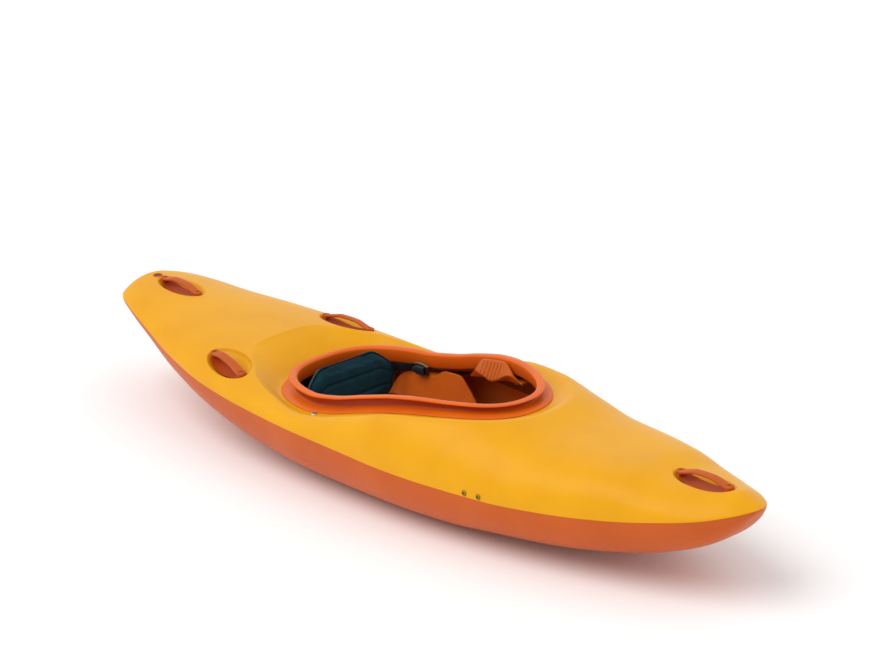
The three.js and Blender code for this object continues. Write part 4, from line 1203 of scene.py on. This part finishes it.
def moulded_polyethylene(name, deep, main, lit, roughness, sunk, scuffed=0.0):
    """Rotationally moulded polyethylene: waxy satin, faintly mottled, with a fine orange-peel skin.

    Where a piece is hollow it takes the sunk colour: painted shade, darker in grooves and pockets and on
    the deck's inside, and a lighter orange inside the hull. Scuffed is how far stones have paled the
    hull's bottom.
    """
    material, tree = new_material(name)
    place = node(tree, "TexCoord").outputs["Object"]
    mottle = node(tree, "TexNoise", Scale=per_mm(160), Detail=3.0, Roughness=0.5, Vector=place)
    shades = [(0.3, linear(deep)), (0.5, linear(main)), (0.72, linear(lit))]
    colour = node(tree, "ValToRGB", stops=shades, Fac=mottle.outputs["Fac"]).outputs["Color"]
    # Painted shade: where the hollow attribute rises to 1 the colour turns to sunk, darker in grooves,
    # pockets and on the deck's inside, and a lighter orange inside the hull
    hollow = node(tree, "Attribute", attribute_name="hollow").outputs["Fac"]
    colour = node(tree, "Mix", data_type="RGBA", i0=hollow, i6=colour, i7=linear(sunk)).outputs[2]
    peel = node(tree, "TexNoise", Scale=per_mm(2.6), Detail=2.0, Vector=place)
    # Rub marks run along the boat: long noise, cut to thin lines
    stretch = node(tree, "Mapping", Scale=(per_mm(260), per_mm(9), per_mm(9)), Vector=place)
    rubs = node(tree, "TexNoise", Scale=1.0, Detail=5.0, Roughness=0.7, Vector=stretch.outputs[0])
    marks = node(tree, "ValToRGB", stops=[(0.56, 0.0), (0.7, 1.0)], Fac=rubs.outputs["Fac"]).outputs["Color"]
    rough = node(tree, "MapRange", To_Min=roughness, To_Max=roughness + 0.1 + 0.12 * scuffed, Value=marks)
    if scuffed:
        height = node(tree, "SeparateXYZ", Vector=place).outputs["Z"]
        low = node(tree, "MapRange", From_Min=0.02, From_Max=0.09, To_Min=scuffed, To_Max=0.0, Value=height)
        worn = node(tree, "Math", operation="MULTIPLY", i0=marks, i1=low.outputs[0])
        # The inside isn't dragged over stones: where hollow is 1, no mark stays
        worn = node(tree, "MapRange", Value=hollow, To_Min=worn.outputs[0], To_Max=0.0)
        colour = node(tree, "Mix", data_type="RGBA", i0=worn.outputs[0], i6=colour,
                      i7=linear(RUBBED)).outputs[2]
    shader = node(tree, "BsdfPrincipled", IOR=1.51, Specular_IOR_Level=0.18, Base_Color=colour,
                  Roughness=rough.outputs[0])
    return finished(material, shader, peel.outputs["Fac"], 0.12, 0.0004)


def matte_nylon(name, main, lit, roughness):
    """Injection-moulded nylon: even, dull, with a fine spark-eroded texture."""
    material, tree = new_material(name)
    place = node(tree, "TexCoord").outputs["Object"]
    grain = node(tree, "TexNoise", Scale=per_mm(1.2), Detail=3.0, Vector=place).outputs["Fac"]
    cloud = node(tree, "TexNoise", Scale=per_mm(30), Detail=2.0, Vector=place).outputs["Fac"]
    colour = node(tree, "ValToRGB", stops=[(0.35, linear(main)), (0.65, linear(lit))], Fac=cloud)
    rough = node(tree, "MapRange", To_Min=roughness - 0.05, To_Max=roughness + 0.08, Value=grain)
    shader = node(tree, "BsdfPrincipled", IOR=1.53, Base_Color=colour.outputs["Color"],
                  Roughness=rough.outputs[0])
    return finished(material, shader, grain, 0.25, 0.0003)


def turned_steel(name, main, roughness):
    """Turned steel, bare or with a thin coloured finish: a fine grain left by the lathe."""
    material, tree = new_material(name)
    place = node(tree, "TexCoord").outputs["Object"]
    grain = node(tree, "TexNoise", Scale=per_mm(0.8), Detail=4.0, Vector=place).outputs["Fac"]
    rough = node(tree, "MapRange", To_Min=roughness - 0.06, To_Max=roughness + 0.1, Value=grain)
    shader = node(tree, "BsdfPrincipled", Base_Color=linear(main), Metallic=1.0, Roughness=rough.outputs[0])
    return finished(material, shader, grain, 0.15, 0.0002)


def coated_cloth(name, dark, light, thread):
    """Plain-weave nylon with a rubbery coating: near-black blue, with a slight sheen."""
    material, tree = new_material(name)
    place = node(tree, "TexCoord").outputs["Object"]
    axes = node(tree, "SeparateXYZ", Vector=place)
    turn = 2 * math.pi / (thread * MM)
    waves = []
    for axis in ("Y", "Z"):
        phase = node(tree, "Math", operation="MULTIPLY", i0=axes.outputs[axis], i1=turn)
        waves.append(node(tree, "Math", operation="SINE", i0=phase.outputs[0]).outputs[0])
    weave = node(tree, "Math", operation="MULTIPLY", i0=waves[0], i1=waves[1])
    shade = node(tree, "MapRange", From_Min=-1.0, From_Max=1.0, Value=weave.outputs[0]).outputs[0]
    cloud = node(tree, "TexNoise", Scale=per_mm(40), Detail=3.0, Vector=place)
    both = node(tree, "Math", operation="MULTIPLY", i0=shade, i1=cloud.outputs["Fac"])
    colour = node(tree, "ValToRGB", stops=[(0.1, linear(dark)), (0.6, linear(light))], Fac=both.outputs[0])
    shader = node(tree, "BsdfPrincipled", Roughness=0.7, Specular_IOR_Level=0.12,
                  Base_Color=colour.outputs["Color"])
    return finished(material, shader, shade, 0.35, 0.0004)


def closed_cell_foam(name, dark, light):
    """Cross-linked foam: dull, with open cells where it was sawn."""
    material, tree = new_material(name)
    place = node(tree, "TexCoord").outputs["Object"]
    cells = node(tree, "TexVoronoi", Scale=per_mm(2.2), Vector=place).outputs["Distance"]
    colour = node(tree, "ValToRGB", stops=[(0.1, linear(dark)), (0.7, linear(light))], Fac=cells)
    shader = node(tree, "BsdfPrincipled", Roughness=0.92, Base_Color=colour.outputs["Color"])
    return finished(material, shader, cells, 0.4, 0.0006)


def satin_aluminium(name):
    """Extruded aluminium, satin anodised: fine lines run along the bar."""
    material, tree = new_material(name)
    place = node(tree, "TexCoord").outputs["Object"]
    stretch = node(tree, "Mapping", Scale=(per_mm(40), per_mm(0.8), per_mm(0.8)), Vector=place)
    lines = node(tree, "TexNoise", Scale=1.0, Detail=4.0, Vector=stretch.outputs[0]).outputs["Fac"]
    rough = node(tree, "MapRange", To_Min=0.28, To_Max=0.45, Value=lines)
    shader = node(tree, "BsdfPrincipled", Base_Color=linear("#b9bcc0"), Metallic=1.0,
                  Roughness=rough.outputs[0])
    return finished(material, shader, lines, 0.1, 0.0002)


# Each finish in the colours of the photo: its darker, main and lighter shade, or dark and light
# The last colour of each moulded finish is for its hollow points: painted shade on the deck's inside, in the
# coaming's groove and in the handles' dishes, and a lighter orange inside the hull
YELLOW = moulded_polyethylene("yellow_polyethylene", "#e39d03", "#e7a204", "#eaa607", 0.38, "#8f4a14")
ORANGE = moulded_polyethylene("orange_polyethylene", "#c3571b", "#c75b1e", "#cc6022", 0.4, "#dc6c26", 0.25)
RIM = moulded_polyethylene("deep_orange_polyethylene", "#d95f0d", "#e06510", "#e56b15", 0.36, "#a8360a")
HANDLES = moulded_polyethylene("handle_polyethylene", "#b85119", "#bf571c", "#c65d20", 0.5, "#b04208")
SEAT_PLASTIC = moulded_polyethylene("seat_polyethylene", "#bd5610", "#c45b12", "#ca6016", 0.45, "#8a3507")
BLACK = matte_nylon("black_nylon", "#121518", "#1b1f23", 0.5)
# A lighter grey, painted as the highlight along the ratchet's top edge
HIGHLIGHT_GREY = matte_nylon("highlight_grey_nylon", "#6a5d48", "#7a6b52", 0.5)
PLUG = matte_nylon("brown_rubber", "#6e3110", "#803c17", 0.6)
CLOTH = coated_cloth("blue_black_cloth", "#02222a", "#063a46", 1.6)
WEBBING = coated_cloth("black_webbing", "#0d0f11", "#25292d", 2.4)
FOAM = closed_cell_foam("grey_foam", "#2c2e31", "#46494e")
STEEL = turned_steel("stainless_steel", "#a9aaa8", 0.36)
BRONZED = turned_steel("bronzed_steel", "#b0602c", 0.5)
PASSIVATED = turned_steel("yellow_passivated_steel", "#9a7f2c", 0.6)
ALUMINIUM = satin_aluminium("satin_aluminium")


# Pieces

def inner_half(part):
    """1 at a thickened skin's inner points and at the cockpit's cut edge, and 0 elsewhere."""
    x, y, _ = np.asarray(part[0]).T
    return (np.arange(len(x)) >= len(x) // 2) | (outline_offset(x, y) < DECK_HOLE + 1)


def make_shell():
    deck, hull, rim = deck_skin(), hull_skin(), coaming()
    # Painted shade: the deck's inside and its cut edge round the cockpit take the yellow's dark brown sunk
    # colour
    piece("deck_skin", deck, YELLOW, "hull", ["deck_shell"], 60, inner_half(deck))
    inside = np.arange(len(hull[0])) >= len(hull[0]) // 2
    piece("hull_skin", hull, ORANGE, "hull", ["hull_shell"], 60, inside)
    piece("coaming_rim", outward(rim), RIM, "hull", ["cockpit_coaming"], 60,
          coaming_painted_shade())


def make_handles():
    shapes = {extra: grab_handle_part(extra) for extra in (0, -12)}
    shapes[12] = mirrored(shapes[-12], -1)
    for name, (*_, extra) in GRAB_HANDLES.items():
        shape = shapes[extra]
        # Painted shade: each handle darkens towards its dish at the bottom of the pocket, under the bar
        hollow = ease(1, -9, np.asarray(shape[0])[:, 2])
        stretch = Matrix.Diagonal((handle_half(name) / HANDLE["half"], 1, 1, 1))
        part = placed(shape, handle_frame(name) @ stretch)
        piece(name + "_moulding", part, HANDLES, "hull", [name], 80, hollow)
        for end, way in (("front", 1), ("rear", -1)):
            x = way * (handle_half(name) - HANDLE["bolt_inset"])
            head = placed(bolt_part(3, 24, 6.9, 4.2), handle_frame(name) @ Matrix.Translation((x, 0, 0.8)))
            piece(f"{name}_{end}_screw", head, BRONZED, "hull", [f"{name}_bolt_{end}"])
    seat, plug = drain_parts()
    piece("drain_ring", seat, RIM, "hull", ["drain_seat"])
    piece("drain_stopper", plug, PLUG, "drain_plug", ["drain_plug"])


def make_seat():
    piece("seat_moulding", seat_part(), SEAT_PLASTIC, "seat", ["seat_pan"], crease=50)
    for side_name, side in SIDES.items():
        top = float(deck_height(SEAT_BOLT["x"], SEAT_BOLT["y"])) - SEAT_BOLT["sunk"]
        reach = top - SEAT["wing_z"] + 20
        bolt = placed(bolt_part(SEAT_BOLT["shank"], reach, SEAT_BOLT["head"], 5),
                      Matrix.Translation((SEAT_BOLT["x"], side * SEAT_BOLT["y"], top)))
        piece(f"seat_screw_{side_name}", bolt, STEEL, "hull", [f"seat_bolt_{side_name}"])
        piece(f"ratchet_body_{side_name}", mirrored(ratchet_base(), side), BLACK, "seat",
              [f"ratchet_base_{side_name}"])
        # The bow's lighter grey is a painted highlight on the ratchet's top
        piece(f"ratchet_bow_{side_name}", mirrored(ratchet_cap(), side), HIGHLIGHT_GREY, "seat")
        piece(f"ratchet_handle_{side_name}", mirrored(ratchet_lever(), side), BLACK,
              f"ratchet_lever_{side_name}", [f"ratchet_lever_{side_name}"])
        strap = piece(f"band_strap_{side_name}", mirrored(strap_part(), side), WEBBING, None,
                      [f"backband_strap_{side_name}"])
        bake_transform(strap)


def make_back_band():
    piece("back_band_sheet", band_sheet(), BLACK, "backband", ["backband_shell"])
    pad = piece("back_band_pad", band_pad(), CLOTH, "backband", ["backband_pad"], crease=90)
    fine = pad.modifiers.new("fine", "SUBSURF")
    fine.levels = fine.render_levels = 1
    piece("back_band_piping", band_piping(), CLOTH, "backband", crease=90)


def make_braces():
    for side_name, side in SIDES.items():
        body = f"thigh_brace_{side_name}"
        piece(f"{body}_moulding", mirrored(thigh_brace(), side), SEAT_PLASTIC, body, [body])
        for i, x in enumerate(RAIL_BOLT["stations"]):
            turn = Matrix.Rotation(-side * math.pi / 2, 4, "X")
            at = Matrix.Translation((x, side * (float(half_beam(x)) - 1.2), RAIL_BOLT["z"])) @ turn
            screw = placed(bolt_part(RAIL_BOLT["shank"], 36, RAIL_BOLT["head"], 4), at)
            piece(f"rail_screw_{side_name}_{i + 1}", screw, PASSIVATED, "hull",
                  [f"footrest_rail_bolt_{side_name}_{i + 1}"])


def make_foam():
    for end, reach in FOAM_WALLS.items():
        piece(f"{end}_foam_wall", foam_wall(*reach), FOAM, "hull", [f"{end}_pillar"])
    pad = piece("foot_pad", foot_pad(), FOAM, "footrest", ["footrest_pad"])


def dress_frame():
    """Materials for the nodes that are shown as they are, with their edges rounded."""
    rules = [("bolt", STEEL), ("nut", STEEL), ("pin", STEEL), ("footrest_rail", ALUMINIUM)]
    for name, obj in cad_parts.items():
        if obj.hide_render:
            continue
        material = next((m for key, m in rules if key in name), BLACK)
        obj.data.materials.clear()
        obj.data.materials.append(material)
        edges = obj.modifiers.new("edges", "BEVEL")
        edges.width = 0.0012
        edges.segments = 2
        edges.limit_method = "ANGLE"
        edges.angle_limit = math.radians(40)


# Stage

def make_camera():
    az, el = math.radians(CAMERA["azimuth"]), math.radians(CAMERA["elevation"])
    roll = math.radians(CAMERA["roll"])
    back = Vector((math.sin(az) * math.cos(el), -math.cos(az) * math.cos(el), math.sin(el)))
    right = (-back).cross(Vector((0, 0, 1))).normalized()
    up = right.cross(-back)
    turned_right = right * math.cos(roll) + up * math.sin(roll)
    turned_up = up * math.cos(roll) - right * math.sin(roll)
    data = bpy.data.cameras.new("view")
    data.sensor_width = 36
    data.lens = CAMERA["lens"]
    data.clip_end = 200
    camera = bpy.data.objects.new("view", data)
    bpy.context.scene.collection.objects.link(camera)
    place = (Vector(CAMERA["target"]) + back * CAMERA["distance"]) * MM
    turn = Matrix((turned_right, turned_up, back)).transposed().to_4x4()
    camera.matrix_world = Matrix.Translation(place) @ turn
    bpy.context.scene.camera = camera


def make_floor():
    reach = 60 / MM
    corners = [(-reach, -reach, 0), (reach, -reach, 0), (reach, reach, 0), (-reach, reach, 0)]
    floor = new_object("floor", (corners, [(0, 1, 2, 3)]))
    material, tree = new_material("pale_floor")
    floor.data.materials.append(finished(material, node(tree, "BsdfDiffuse", Color=(1, 1, 1, 1))))


def make_light():
    world = bpy.data.worlds.new("studio")
    bpy.context.scene.world = world
    world.use_nodes = True
    tree = world.node_tree
    tree.nodes.clear()
    sky = node(tree, "Background", Color=(1, 1, 1, 1), Strength=SKY)
    white = node(tree, "Background", Color=(1, 1, 1, 1), Strength=1.0)
    path = node(tree, "LightPath")
    rays = path.outputs["Is Camera Ray"]
    for ray in ("Is Glossy Ray", "Is Transmission Ray"):
        rays = node(tree, "Math", operation="MAXIMUM", i0=rays, i1=path.outputs[ray]).outputs[0]
    seen = node(tree, "MixShader", i0=rays, i1=sky.outputs[0], i2=white.outputs[0])
    node(tree, "OutputWorld", Surface=seen.outputs[0])
    for name, (strength, spread, tilt) in LAMPS.items():
        data = bpy.data.lights.new(name, "SUN")
        data.energy = strength
        data.angle = math.radians(spread)
        lamp = bpy.data.objects.new(name, data)
        lamp.rotation_euler = [math.radians(t) for t in tilt]
        bpy.context.scene.collection.objects.link(lamp)


make_camera()
make_shell()
make_handles()
make_seat()
make_back_band()
make_braces()
make_foam()
dress_frame()
make_floor()
make_light()
bpy.context.scene.view_settings.view_transform = "Standard"
